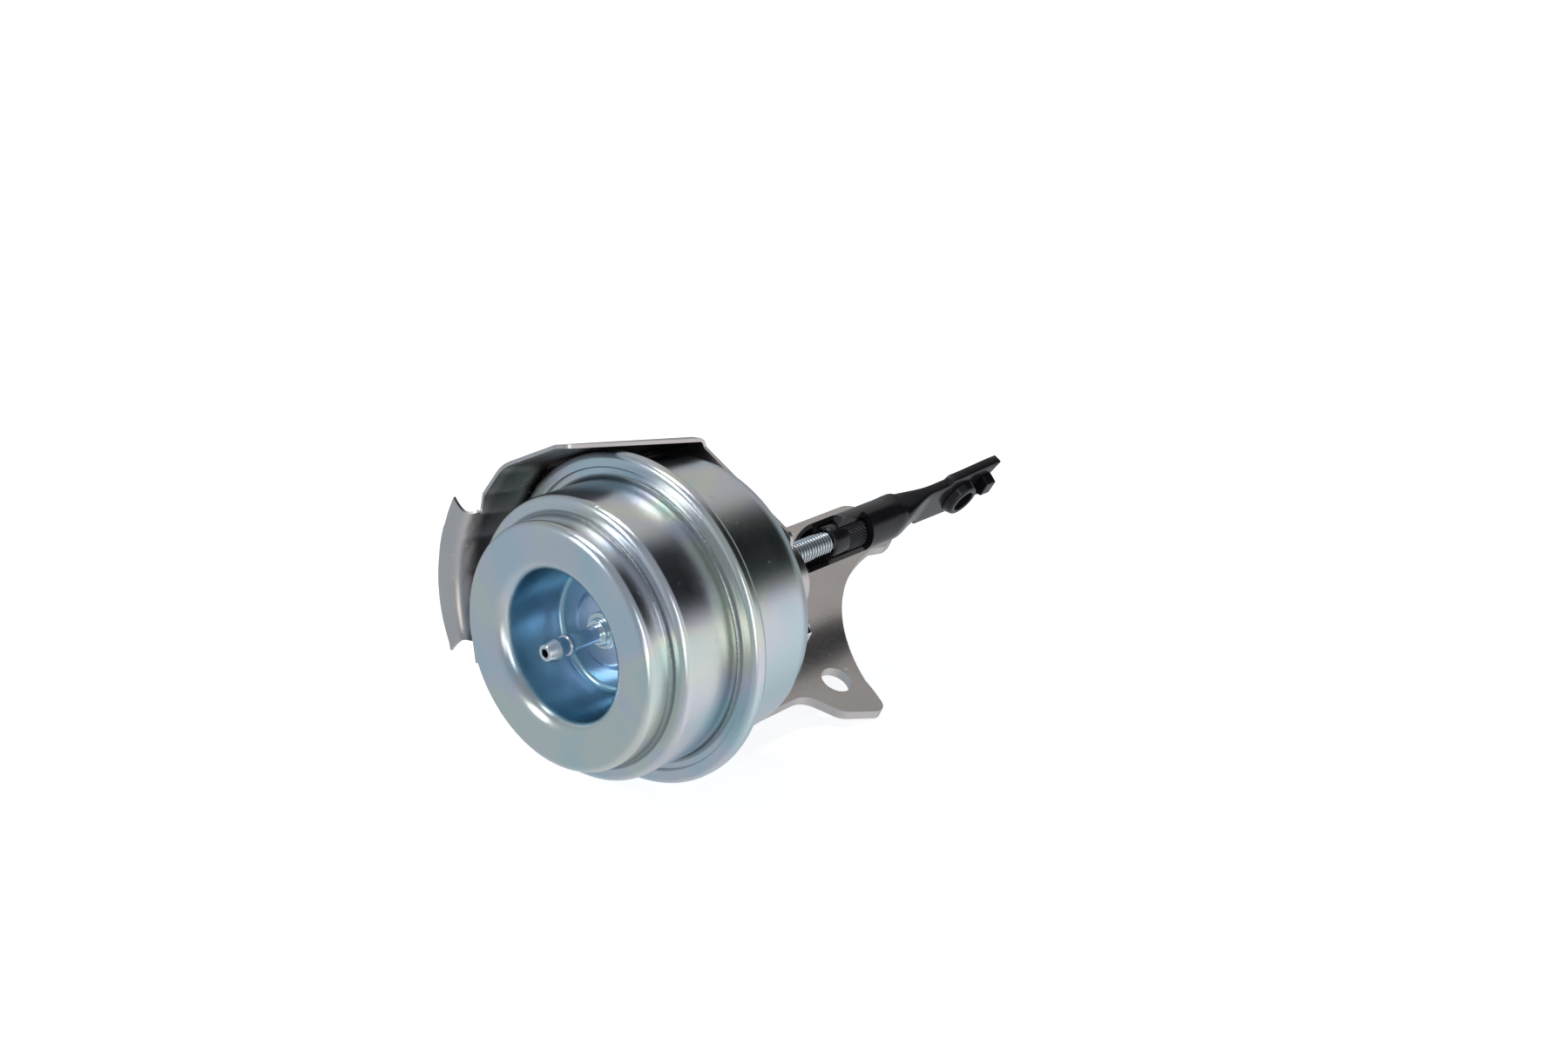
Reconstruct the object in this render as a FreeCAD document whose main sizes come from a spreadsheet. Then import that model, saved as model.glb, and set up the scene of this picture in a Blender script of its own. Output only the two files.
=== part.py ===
import FreeCAD, Part
import math
import os
import Sketcher

# Vacuum actuator for the vane lever of a turbocharger, in millimetres.
#
# The X axis is the axis of the pull rod: the hose nipple points to -X and the rod end to +X.
# +Z is up. The origin lies on the rod axis, at the rear edge of the nipple's barb.
# The rod is drawn fully out, as the return spring leaves it with no vacuum applied.

document = FreeCAD.newDocument("vacuum_actuator")
sheet = document.addObject("Spreadsheet::Sheet", "sizes")

# ---------------------------------------------------------------------------------------------
# Driving dimensions
# ---------------------------------------------------------------------------------------------

DIMENSIONS = {
    # canister
    "wall": 1.0,                   # sheet of the front cap and the back shell
    "rim_radius": 38.5,            # outside of the crimped rim
    "rim_x": 23.8,                 # plane between the cap's flange and the diaphragm
    "crimp_lip_radius": 35.0,      # inner edge of the folded lip
    "crimp_corner": 1.6,           # outer radius of the rolled rim
    "cap_front_x": -0.7,           # face of the front ring
    "cap_front_radius": 28.4,
    "cap_step_x": 6.3,             # shoulder between the front ring and the wide step
    "cap_step_radius": 32.6,
    "cap_corner": 2.4,
    "pocket_mouth_radius": 17.6,
    "pocket_floor_radius": 14.6,
    "pocket_floor_x": 15.5,
    "pocket_boss_radius": 8.6,     # pressed ring round the nipple
    "pocket_boss_height": 1.2,
    "shell_radius": 34.0,          # back shell, next to the rim
    "shell_back_radius": 32.6,
    "shell_back_x": 49.3,
    "shell_corner": 6.5,
    # hose nipple
    "nipple_radius": 2.0,
    "nipple_bore": 1.0,
    "nipple_seat": 8.2,            # plain length behind the stop ring
    "nipple_stop_radius": 2.4,
    "nipple_stop": 1.2,
    "nipple_neck": 2.6,            # from the stop ring to the barb
    "barb_radius": 2.7,
    "barb_length": 3.4,
    "barb_land": 0.5,              # cylindrical stretch at the barb's rear edge
    "barb_tip_radius": 1.8,
    "nipple_collar_radius": 4.4,
    "nipple_collar": 2.0,
    # diaphragm, piston and spring
    "rubber": 1.0,
    "piston_x": 42.8,              # spring side of the piston disc
    "piston_sheet": 1.2,
    "piston_radius": 27.0,
    "piston_skirt": 11.0,
    "plate_radius": 25.0,
    "plate_sheet": 1.0,
    "stop_inner_radius": 9.0,
    "stop_outer_radius": 14.0,
    "end_gap": 0.3,                # between the rubber stop and the back wall
    "seat_sheet": 0.8,
    "spring_radius": 22.8,
    "spring_wire": 2.6,
    "spring_turns": 6.0,
    # pull rod
    "rod_radius": 2.95,            # crest of the M6 thread
    "rod_tip_x": 108.8,
    "rod_collar_radius": 5.5,
    "rod_collar": 1.4,
    "rod_head_radius": 4.6,
    "rod_head": 1.2,
    "bush_clearance": 0.08,
    "bush_radius": 5.0,
    "bush_flange_radius": 7.4,
    "bush_flange": 1.2,
    "bush_length": 6.2,
    "retainer_radius": 9.0,
    "retainer_sheet": 0.8,
    "fit_clearance": 0.05,
    # bracket, in its own frame turned about the rod axis
    "bracket_tilt": 26.7,          # degrees
    "bracket_sheet": 2.5,
    "bracket_drop": 22.0,          # from the rod axis down to the leg's inner face
    "bracket_half_width": 24.0,
    "bracket_top": 23.0,
    "bracket_lean": 2.2,           # how far the flange narrows towards its top, on the -Y side
    "bracket_corner": 6.0,
    "bracket_big_corner": 9.5,
    "bracket_bend": 3.0,
    "bracket_window": 10.5,
    "leg_end_x": 141.0,
    "leg_hole_radius": 4.0,
    "near_hole_x": 81.7,
    "near_hole_y": -23.9,
    "far_hole_x": 130.8,
    "far_hole_y": 15.5,
    "ear_neck_x": 69.8,
    "ear_tip_x": 84.8,
    "ear_tip_y": -35.8,
    "ear_side_x": 88.1,
    "scoop_radius": 54.6,
    "far_ear_y": 7.2,
    # studs, washers and nuts
    "stud_circle": 19.0,
    "stud_radius": 2.95,
    "stud_head_radius": 4.5,
    "stud_head": 1.2,
    "stud_hole": 3.3,
    "washer_radius": 6.0,
    "washer_sheet": 1.2,
    "nut_flats": 10.0,
    "nut_height": 5.0,
    "stud_past_nut": 2.5,
    # heat shield
    "shield_sheet": 0.9,
    "shield_front_x": 10.3,
    "shield_rim_gap": 0.1,         # from the crimped rim to the wall's inner face
    "shield_shell_gap": 3.6,       # from the back shell's corner to the wall's outer face
    "shield_cut": 28.8,            # straight edge of the back plate, from the rod axis
    "flare_height": 5.9,           # how far the flared tab stands out from the wall
    "flare_reach": 2.4,
    # adjuster and rod end
    "adjuster_x": 90.0,
    "adjuster_wall": 1.25,         # from the rod's thread to the knurl
    "adjuster_collar": 5.8,
    "adjuster_length": 12.8,
    "adjuster_clearance": 0.2,
    "tube_sheet": 1.1,
    "tube_x": 81.8,
    "tube_slope": 7.0,             # how much further back the tube starts at its top
    "window_x": 89.8,
    "window_end_x": 103.0,
    "window_offset": 2.7,          # rod axis to the edges of the adjuster window
    "trough_offset": 0.6,
    "neck_x": 114.8,
    "plate_x": 130.8,
    "eye_plate": 3.0,
    "eye_plate_width": 12.6,
    "eye_x": 143.8,
    "eye_head_x": 136.3,
    "eye_head_width": 15.0,
    "eye_end_x": 154.8,
    "rod_end_turn": 57.0,          # degrees about the rod axis
    "eye_bore": 3.1,
    "eye_bush_radius": 4.2,
    "eye_boss_radius": 5.3,
    "eye_boss": 2.2,
    "eye_rivet": 0.7,
    "clip_sheet": 0.8,
    "clip_width": 7.0,
    "clip_length": 5.6,
    "clip_gap": 0.05,
}


class Size:
    """A length with the spreadsheet expression that gives it."""

    def __init__(self, value, text):
        self.value = value
        self.text = text

    def combine(self, other, sign, result):
        text = other.text if isinstance(other, Size) else repr(float(other))
        return Size(result, "(" + self.text + " " + sign + " " + text + ")")

    def __add__(self, other):
        return self.combine(other, "+", self.value + plain(other))

    def __sub__(self, other):
        return self.combine(other, "-", self.value - plain(other))

    def __mul__(self, other):
        return self.combine(other, "*", self.value * plain(other))

    def __truediv__(self, other):
        return self.combine(other, "/", self.value / plain(other))

    def __neg__(self):
        return Size(-self.value, "(0 - " + self.text + ")")


def plain(quantity):
    return quantity.value if isinstance(quantity, Size) else float(quantity)


def fixed(number):
    return Size(float(number), repr(float(number)))


def cosine(degrees):
    return Size(math.cos(math.radians(plain(degrees))), "cos(" + as_text(degrees) + " * 1 deg)")


def sine(degrees):
    return Size(math.sin(math.radians(plain(degrees))), "sin(" + as_text(degrees) + " * 1 deg)")


def as_text(quantity):
    return quantity.text if isinstance(quantity, Size) else repr(float(quantity))


size = {}
for row, (alias, number) in enumerate(DIMENSIONS.items(), start=1):
    sheet.set("A%d" % row, alias)
    sheet.set("B%d" % row, repr(number))
    sheet.setAlias("B%d" % row, alias)
    size[alias] = Size(number, "sizes." + alias)
document.recompute()

# ---------------------------------------------------------------------------------------------
# Sizes that follow from the driving ones
# ---------------------------------------------------------------------------------------------

wall = size["wall"]
rim_x = size["rim_x"]
shell_back = size["shell_back_x"]
flange_back = rim_x + size["rubber"]                    # front face of the back shell's flange
lip_front = rim_x - wall * 2
piston_back = size["piston_x"] + size["piston_sheet"]
diaphragm_back = piston_back + size["rubber"]
plate_back = diaphragm_back + size["plate_sheet"]
shield_back = shell_back + size["shield_sheet"]
rim_back = flange_back + wall
shield_back_apothem = size["shell_back_radius"] + size["shield_shell_gap"]
shield_rim_apothem = size["rim_radius"] + size["shield_rim_gap"] + size["shield_sheet"]
shield_taper = (shield_rim_apothem - shield_back_apothem) / (shield_back - rim_back)
shield_front_apothem = shield_back_apothem + shield_taper * (shield_back - size["shield_front_x"])
adjuster_radius = size["rod_radius"] + size["adjuster_wall"]
bracket_back = shield_back + size["bracket_sheet"]
nut_front = bracket_back + size["washer_sheet"]
nut_back = nut_front + size["nut_height"]
stack_bore = size["rod_radius"] + size["fit_clearance"]
seat_back = size["cap_front_x"] + wall + size["seat_sheet"]
tube_inner = adjuster_radius + size["adjuster_clearance"]
tube_outer = tube_inner + size["tube_sheet"]
eye_half = size["eye_plate"] / 2
LEG_BOTTOM = -(size["bracket_drop"] + size["bracket_sheet"])

# ---------------------------------------------------------------------------------------------
# Helpers
# ---------------------------------------------------------------------------------------------

PARTS = []


def new_body(label):
    body = document.addObject("PartDesign::Body", label)
    body.Label = label
    PARTS.append(body)
    return body


def turn_about_rod(item, degrees):
    """Turn a sub-part about the X axis by an angle from the sheet."""
    turn = FreeCAD.Rotation(FreeCAD.Vector(1, 0, 0), plain(degrees))
    item.Placement = FreeCAD.Placement(FreeCAD.Vector(), turn)
    item.setExpression("Placement.Rotation.Angle", as_text(degrees))


def origin_plane(body, role):
    return [item for item in body.Origin.OriginFeatures if item.Role == role][0]


def new_sketch(body, name, role, offset=None, tilt=0.0):
    """A sketch on an origin plane, moved along the plane's normal and turned about its own x axis."""
    sketch = body.newObject("Sketcher::SketchObject", name)
    sketch.AttachmentSupport = [(origin_plane(body, role), "")]
    sketch.MapMode = "FlatFace"
    turn = FreeCAD.Rotation(FreeCAD.Vector(1, 0, 0), tilt)
    sketch.AttachmentOffset = FreeCAD.Placement(FreeCAD.Vector(0, 0, plain(offset) if offset else 0), turn)
    if offset:
        sketch.setExpression("AttachmentOffset.Base.z", as_text(offset))
    return sketch


def pin_point(sketch, geometry, corner, point):
    """Tie one point of a sketch to two sizes, measured from the sketch's origin."""
    for kind, coordinate in (("DistanceX", point[0]), ("DistanceY", point[1])):
        index = sketch.addConstraint(Sketcher.Constraint(kind, geometry, corner, plain(coordinate)))
        sketch.setExpression("Constraints[%d]" % index, as_text(coordinate))


def polygon(sketch, points):
    """A closed outline of straight lines whose corners are tied to sizes."""
    corners = [FreeCAD.Vector(plain(x), plain(y), 0) for x, y in points]
    count = len(corners)
    lines = []
    for number in range(count):
        line = Part.LineSegment(corners[number], corners[(number + 1) % count])
        lines.append(sketch.addGeometry(line, False))
    for number in range(count):
        following = lines[(number + 1) % count]
        sketch.addConstraint(Sketcher.Constraint("Coincident", lines[number], 2, following, 1))
    for number in range(count):
        pin_point(sketch, lines[number], 1, points[number])


def circle(sketch, radius, x=0.0, y=0.0):
    centre = FreeCAD.Vector(plain(x), plain(y), 0)
    index = sketch.addGeometry(Part.Circle(centre, FreeCAD.Vector(0, 0, 1), plain(radius)), False)
    pin_point(sketch, index, 3, (x, y))
    number = sketch.addConstraint(Sketcher.Constraint("Radius", index, plain(radius)))
    sketch.setExpression("Constraints[%d]" % number, as_text(radius))


def ring_edges(feature, rings):
    """Names of the circular edges round the X axis at the given places and radii."""
    names = []
    for number, edge in enumerate(feature.Shape.Edges, start=1):
        if not isinstance(edge.Curve, Part.Circle):
            continue
        for x, radius in rings:
            at_place = abs(edge.Curve.Center.x - plain(x)) < 0.01
            if at_place and abs(edge.Curve.Radius - plain(radius)) < 0.01:
                names.append("Edge%d" % number)
    return names


def fillet(body, feature, edges, radius, name):
    rounding = body.newObject("PartDesign::Fillet", name)
    rounding.Base = (feature, edges)
    rounding.Radius = plain(radius)
    rounding.setExpression("Radius", as_text(radius))
    document.recompute()
    return rounding


def turned_part(label, points, roundings=()):
    """A sub-part turned about the rod axis, from a profile of (x, radius) corners."""
    body = new_body(label)
    sketch = new_sketch(body, label + "_profile", "XZ_Plane")
    polygon(sketch, points)
    turned = body.newObject("PartDesign::Revolution", label + "_turned")
    turned.Profile = sketch
    turned.ReferenceAxis = (sketch, ["H_Axis"])
    turned.Angle = 360.0
    document.recompute()
    feature = turned
    for number, (rings, radius) in enumerate(roundings):
        names = ring_edges(feature, rings)
        feature = fillet(body, feature, names, radius, "%s_rounding_%d" % (label, number))
    return body


def pad(body, sketch, length, name, backwards=False):
    feature = body.newObject("PartDesign::Pad", name)
    feature.Profile = sketch
    feature.Length = plain(length)
    feature.setExpression("Length", as_text(length))
    feature.Reversed = backwards
    document.recompute()
    return feature


def pocket(body, sketch, name, length=None, both_ways=False, backwards=False):
    """Cut a sketch out of the body, and make sure that it removed something."""
    before = body.Shape.Volume
    feature = body.newObject("PartDesign::Pocket", name)
    feature.Profile = sketch
    if length is None:
        feature.Type = "ThroughAll"
    else:
        feature.Length = plain(length)
        feature.setExpression("Length", as_text(length))
    feature.Midplane = both_ways
    feature.Reversed = backwards
    document.recompute()
    if feature.Shape.Volume > before - 0.01:
        raise RuntimeError(name + " cut nothing")
    return feature


def upright_edges(feature, places, axis):
    """Names of the straight edges along a local axis that pass through the given points."""
    first, second = [number for number in range(3) if number != axis]
    names = []
    for number, edge in enumerate(feature.Shape.Edges, start=1):
        start = edge.Vertexes[0].Point
        end = edge.Vertexes[-1].Point
        straight = abs(start[first] - end[first]) < 0.01 and abs(start[second] - end[second]) < 0.01
        if not straight or edge.Length < 0.1:
            continue
        for a, b in places:
            if abs(start[first] - plain(a)) < 0.01 and abs(start[second] - plain(b)) < 0.01:
                names.append("Edge%d" % number)
    return names


# ---------------------------------------------------------------------------------------------
# Canister
# ---------------------------------------------------------------------------------------------

def make_front_cap():
    front = size["cap_front_x"]
    step_x = size["cap_step_x"]
    front_radius = size["cap_front_radius"]
    step_radius = size["cap_step_radius"]
    flange_front = rim_x - wall
    flange_radius = size["rim_radius"] - wall - size["fit_clearance"] * 2
    mouth = size["pocket_mouth_radius"]
    floor = size["pocket_floor_x"]
    floor_radius = size["pocket_floor_radius"]
    boss_radius = size["pocket_boss_radius"]
    boss_x = floor - size["pocket_boss_height"]
    hole = size["nipple_radius"] + size["fit_clearance"]
    outside = [
        (boss_x, hole), (boss_x, boss_radius), (floor, boss_radius + size["pocket_boss_height"]),
        (floor, floor_radius), (front, mouth), (front, front_radius), (step_x, front_radius),
        (step_x, step_radius), (flange_front, step_radius), (flange_front, flange_radius),
    ]
    inside = [
        (rim_x, flange_radius), (rim_x, step_radius - wall), (step_x + wall, step_radius - wall),
        (step_x + wall, front_radius - wall), (front + wall, front_radius - wall),
        (front + wall, mouth + wall), (floor + wall, floor_radius + wall),
        (floor + wall, boss_radius + size["pocket_boss_height"]), (boss_x + wall, boss_radius),
        (boss_x + wall, hole),
    ]
    corner = size["cap_corner"]
    inner_corner = corner - wall
    outer = [(front, mouth), (front, front_radius), (step_x, step_radius)]
    inner = [(front + wall, mouth + wall), (front + wall, front_radius - wall)]
    inner.append((step_x + wall, step_radius - wall))
    hollow = [(step_x, front_radius), (flange_front, step_radius)]
    return turned_part(
        "front_cap", outside + inside,
        [
            (outer, corner), (inner, inner_corner), (hollow, fixed(0.9)),
            ([(floor, floor_radius)], fixed(1.5)),
        ],
    )


def make_back_shell():
    rim = size["rim_radius"]
    back_radius = size["shell_back_radius"]
    hole = size["bush_radius"] + size["fit_clearance"]
    lip = size["crimp_lip_radius"]
    shell_radius = size["shell_radius"]
    points = [
        (shell_back, hole), (shell_back, back_radius), (flange_back + wall, shell_radius),
        (flange_back + wall, rim), (lip_front, rim), (lip_front, lip), (lip_front + wall, lip),
        (lip_front + wall, rim - wall), (flange_back, rim - wall), (flange_back, shell_radius - wall),
        (shell_back - wall, back_radius - wall), (shell_back - wall, hole),
    ]
    roundings = [
        ([(flange_back + wall, rim), (lip_front, rim)], size["crimp_corner"]),
        ([(shell_back, back_radius)], size["shell_corner"]),
        ([(shell_back - wall, back_radius - wall)], size["shell_corner"] - wall),
        ([(flange_back + wall, shell_radius)], fixed(1.0)),
        ([(lip_front, lip)], fixed(0.4)),
    ]
    body = turned_part("back_shell", points, roundings)
    sketch = new_sketch(body, "stud_holes", "YZ_Plane", shell_back)
    for side in (-1, 1):
        angle = size["bracket_tilt"]
        radius = size["stud_circle"] * side
        hole = size["stud_radius"] + size["fit_clearance"]
        circle(sketch, hole, radius * cosine(angle), radius * sine(angle))
    pocket(body, sketch, "stud_hole_cut", wall * 2, both_ways=True)
    return body


def make_hose_nipple():
    radius = size["nipple_radius"]
    bore = size["nipple_bore"]
    collar = size["nipple_collar_radius"]
    tip = -size["barb_length"]
    stop_front = size["nipple_neck"]
    stop_back = stop_front + size["nipple_stop"]
    seat_end = stop_back + size["nipple_seat"]
    floor = size["pocket_floor_x"] - size["pocket_boss_height"]
    inner_end = floor + wall * 2
    points = [
        (tip, bore), (tip, size["barb_tip_radius"]), (-size["barb_land"], size["barb_radius"]),
        (fixed(0), size["barb_radius"]), (fixed(0), radius), (stop_front, radius),
        (stop_front, size["nipple_stop_radius"]), (stop_back, size["nipple_stop_radius"]),
        (stop_back, radius), (seat_end, radius), (seat_end, radius + 1.1),
        (floor - 0.9, radius + 1.1), (floor - 0.9, collar), (floor, collar), (floor, radius),
        (inner_end, radius), (inner_end, bore),
    ]
    return turned_part("hose_nipple", points, [([(tip, size["barb_tip_radius"])], fixed(0.3))])


# ---------------------------------------------------------------------------------------------
# Inside the canister
# ---------------------------------------------------------------------------------------------

def make_diaphragm():
    rubber = size["rubber"]
    bead = size["rim_radius"] - wall - size["fit_clearance"] * 2
    root = size["shell_radius"] - wall - 0.8
    crown = size["piston_radius"] + size["fit_clearance"] * 4 + rubber
    points = [
        (rim_x, bead), (flange_back, bead), (flange_back, root), (diaphragm_back, crown),
        (diaphragm_back, stack_bore), (piston_back, stack_bore), (piston_back, crown - rubber),
        (rim_x, root - rubber),
    ]
    return turned_part("diaphragm", points, [([(diaphragm_back, crown)], fixed(0.8))])


def make_piston_cup():
    sheet_size = size["piston_sheet"]
    radius = size["piston_radius"]
    front = size["piston_x"]
    step = size["spring_radius"] - size["spring_wire"]
    points = [
        (piston_back, stack_bore), (piston_back, radius), (front - size["piston_skirt"], radius),
        (front - size["piston_skirt"], radius - sheet_size), (front, radius - sheet_size),
        (front, step), (front - 1.0, step - 0.8), (front - 1.0, step - 2.4), (front, step - 3.2),
        (front, stack_bore),
    ]
    return turned_part("piston_cup", points, [([(piston_back, radius)], fixed(1.0))])


def make_backing_plate():
    points = [
        (diaphragm_back, stack_bore), (diaphragm_back, size["plate_radius"]),
        (plate_back, size["plate_radius"]), (plate_back, stack_bore),
    ]
    return turned_part("backing_plate", points)


def make_bump_stop():
    back = shell_back - wall - size["end_gap"]
    points = [
        (plate_back, size["stop_inner_radius"]), (plate_back, size["stop_outer_radius"]),
        (back, size["stop_outer_radius"] - 0.8), (back, size["stop_inner_radius"] + 0.8),
    ]
    return turned_part("bump_stop", points)


def make_spring_seat():
    front = size["cap_front_x"] + wall
    inner = size["pocket_mouth_radius"] + wall + 1.6
    outer = size["cap_front_radius"] - wall - 1.6
    points = [(front, inner), (front, outer), (seat_back, outer), (seat_back, inner)]
    return turned_part("spring_seat", points)


def make_return_spring():
    body = new_body("return_spring")
    half_wire = size["spring_wire"] / 2
    sketch = new_sketch(body, "wire_section", "XZ_Plane")
    circle(sketch, half_wire, seat_back + half_wire, size["spring_radius"])
    coils = body.newObject("PartDesign::AdditiveHelix", "coils")
    coils.Profile = sketch
    coils.ReferenceAxis = (sketch, ["H_Axis"])
    coils.Mode = "height-turns-angle"
    height = size["piston_x"] - seat_back - size["spring_wire"]
    coils.Turns = size["spring_turns"].value
    coils.setExpression("Turns", size["spring_turns"].text)
    coils.Height = plain(height)
    coils.setExpression("Height", as_text(height))
    document.recompute()
    return body


# ---------------------------------------------------------------------------------------------
# Pull rod and its guide
# ---------------------------------------------------------------------------------------------

def make_pull_rod():
    radius = size["rod_radius"]
    washer_front = size["piston_x"] - size["plate_sheet"]
    head_front = washer_front - size["rod_head"]
    tip = size["rod_tip_x"]
    points = [
        (head_front, fixed(0)), (head_front, size["rod_head_radius"]),
        (washer_front, size["rod_head_radius"]), (washer_front, radius), (plate_back, radius),
        (plate_back, size["rod_collar_radius"]),
        (plate_back + size["rod_collar"], size["rod_collar_radius"]),
        (plate_back + size["rod_collar"], radius), (tip - 0.8, radius), (tip, radius - 0.8),
        (tip, fixed(0)),
    ]
    return turned_part("pull_rod", points)


def make_rivet_washer():
    front = size["piston_x"] - size["plate_sheet"]
    points = [
        (front, stack_bore), (front, size["rod_head_radius"] * 2),
        (size["piston_x"], size["rod_head_radius"] * 2), (size["piston_x"], stack_bore),
    ]
    return turned_part("rivet_washer", points)


def make_guide_bush():
    bore = size["rod_radius"] + size["bush_clearance"]
    start = shell_back - wall
    flange_end = shell_back + size["bush_flange"]
    end = start + size["bush_length"]
    points = [
        (start, bore), (start, size["bush_radius"]), (shell_back, size["bush_radius"]),
        (shell_back, size["bush_flange_radius"]), (flange_end, size["bush_flange_radius"]),
        (flange_end, size["bush_radius"]), (end, size["bush_radius"]), (end, bore),
    ]
    return turned_part("guide_bush", points)


def make_bush_retainer():
    """Pressed ring that holds the bush's flange against the shell."""
    hole = size["bush_radius"] + size["fit_clearance"] * 2
    flange_end = shell_back + size["bush_flange"]
    inner = size["bush_flange_radius"] + size["fit_clearance"] * 2
    thick = size["retainer_sheet"]
    points = [
        (flange_end, hole), (flange_end, inner), (shell_back, inner),
        (shell_back, size["retainer_radius"]), (shell_back + thick, size["retainer_radius"]),
        (shell_back + thick, inner + thick), (flange_end + thick, inner + thick),
        (flange_end + thick, hole),
    ]
    return turned_part("bush_retainer", points)


# ---------------------------------------------------------------------------------------------
# Bracket, heat shield and their fasteners
# ---------------------------------------------------------------------------------------------

def make_bracket():
    body = new_body("bracket")
    half = size["bracket_half_width"]
    drop = size["bracket_drop"]
    top = size["bracket_top"]
    corner = size["bracket_corner"]

    flange_sketch = new_sketch(body, "flange_outline", "YZ_Plane", shield_back)
    narrow = half - size["bracket_lean"]
    lean_start = -(size["bracket_drop"] - size["bracket_bend"] * 3)
    polygon(flange_sketch, [
        (-half, LEG_BOTTOM), (half, LEG_BOTTOM), (half, top), (-narrow, top), (-half, lean_start)])
    flange = pad(body, flange_sketch, size["bracket_sheet"], "flange")
    big_corner = upright_edges(flange, [(-narrow, top)], 0)
    flange = fillet(body, flange, big_corner, size["bracket_big_corner"], "flange_big_corner")
    fillet(body, flange, upright_edges(flange, [(half, top)], 0), corner, "flange_corner")

    leg_sketch = new_sketch(body, "leg_outline", "XY_Plane", LEG_BOTTOM)
    leg_outline(leg_sketch, half)
    leg = pad(body, leg_sketch, size["bracket_sheet"], "leg")

    ear_corners = [
        (size["ear_tip_x"], size["ear_tip_y"]), (size["ear_side_x"], size["ear_tip_y"] + 3.0),
        (size["leg_end_x"], size["far_ear_y"]),
    ]
    leg = fillet(body, leg, upright_edges(leg, ear_corners, 2), fixed(2.2), "ear_corners")
    far_corner = upright_edges(leg, [(size["leg_end_x"], half)], 2)
    leg = fillet(body, leg, far_corner, corner, "far_corner")

    bend = upright_edges(leg, [(bracket_back, -drop)], 1)
    leg = fillet(body, leg, bend, size["bracket_bend"], "bend_inside")
    heel = upright_edges(leg, [(shield_back, LEG_BOTTOM)], 1)
    fillet(body, leg, heel, size["bracket_bend"] + size["bracket_sheet"] * 0.8, "bend_outside")

    window = new_sketch(body, "flange_holes", "YZ_Plane", shield_back)
    circle(window, size["bracket_window"])
    for side in (-1, 1):
        circle(window, size["stud_hole"], size["stud_circle"] * side)
    pocket(body, window, "flange_hole_cut", size["bracket_sheet"] * 2, both_ways=True)

    holes = new_sketch(body, "leg_holes", "XY_Plane", LEG_BOTTOM)
    for place in ("near_hole", "far_hole"):
        circle(holes, size["leg_hole_radius"], size[place + "_x"], size[place + "_y"])
    pocket(body, holes, "leg_hole_cut", size["bracket_sheet"] * 2, both_ways=True)
    turn_about_rod(body, size["bracket_tilt"])
    return body


def leg_outline(sketch, half):
    """Leg of the bracket: a strip with two ears and a round scoop between them."""
    scoop_low = (size["ear_side_x"], size["ear_tip_y"] + 3.0)
    scoop_high = (size["leg_end_x"] - 7.0, size["far_ear_y"])
    points = [
        (shield_back, -half), (size["ear_neck_x"], -half), (size["ear_neck_x"] + 5.2, -half - 8.2),
        (size["ear_tip_x"] - 3.4, size["ear_tip_y"]), (size["ear_tip_x"], size["ear_tip_y"]), scoop_low,
        scoop_high, (size["leg_end_x"], size["far_ear_y"]), (size["leg_end_x"], half), (shield_back, half),
    ]
    count = len(points)
    pieces = []
    for number, point in enumerate(points):
        start = FreeCAD.Vector(plain(point[0]), plain(point[1]), 0)
        following = points[(number + 1) % count]
        end = FreeCAD.Vector(plain(following[0]), plain(following[1]), 0)
        if point is scoop_low:
            pieces.append(sketch.addGeometry(arc_between(start, end, size["scoop_radius"].value), False))
        else:
            pieces.append(sketch.addGeometry(Part.LineSegment(start, end), False))
    scoop = points.index(scoop_low)
    for number in range(count):
        first_end = 1 if number == scoop else 2
        next_start = 2 if (number + 1) % count == scoop else 1
        joined = pieces[(number + 1) % count]
        meeting = Sketcher.Constraint("Coincident", pieces[number], first_end, joined, next_start)
        sketch.addConstraint(meeting)
    radius = sketch.addConstraint(Sketcher.Constraint("Radius", pieces[scoop], size["scoop_radius"].value))
    sketch.setExpression("Constraints[%d]" % radius, size["scoop_radius"].text)
    for number in range(count):
        start = 2 if number == scoop else 1
        pin_point(sketch, pieces[number], start, points[number])


def arc_between(start, end, radius):
    """Arc from end to start, counterclockwise, whose centre lies on the open side of the scoop."""
    middle = (start + end) / 2
    chord = end - start
    across = FreeCAD.Vector(chord.y, -chord.x, 0).normalize()
    centre = middle + across * math.sqrt(radius ** 2 - (chord.Length / 2) ** 2)
    first = math.atan2(end.y - centre.y, end.x - centre.x)
    last = math.atan2(start.y - centre.y, start.x - centre.x)
    if last < first:
        last += 2 * math.pi
    return Part.ArcOfCircle(Part.Circle(centre, FreeCAD.Vector(0, 0, 1), radius), first, last)


# Corners of the shield's wall, as angles from straight up towards +Y, and the half angle
# between each corner and the middle of the facet beside it.
ROUND_HALF_FACET = 13.5
SHIELD_CORNERS = [(8.0, 7.0), (38.5, 10.0)] + [
    (angle, ROUND_HALF_FACET) for angle in (62.0, 75.0, 88.0, 101.0, 114.0)]
FLARE_START = 58.0
FLARE_ANGLE = 50.0


def shield_points(apothem):
    points = []
    for angle, half_facet in SHIELD_CORNERS:
        radius = apothem / cosine(half_facet)
        points.append((radius * sine(angle), radius * cosine(angle)))
    return points


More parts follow.
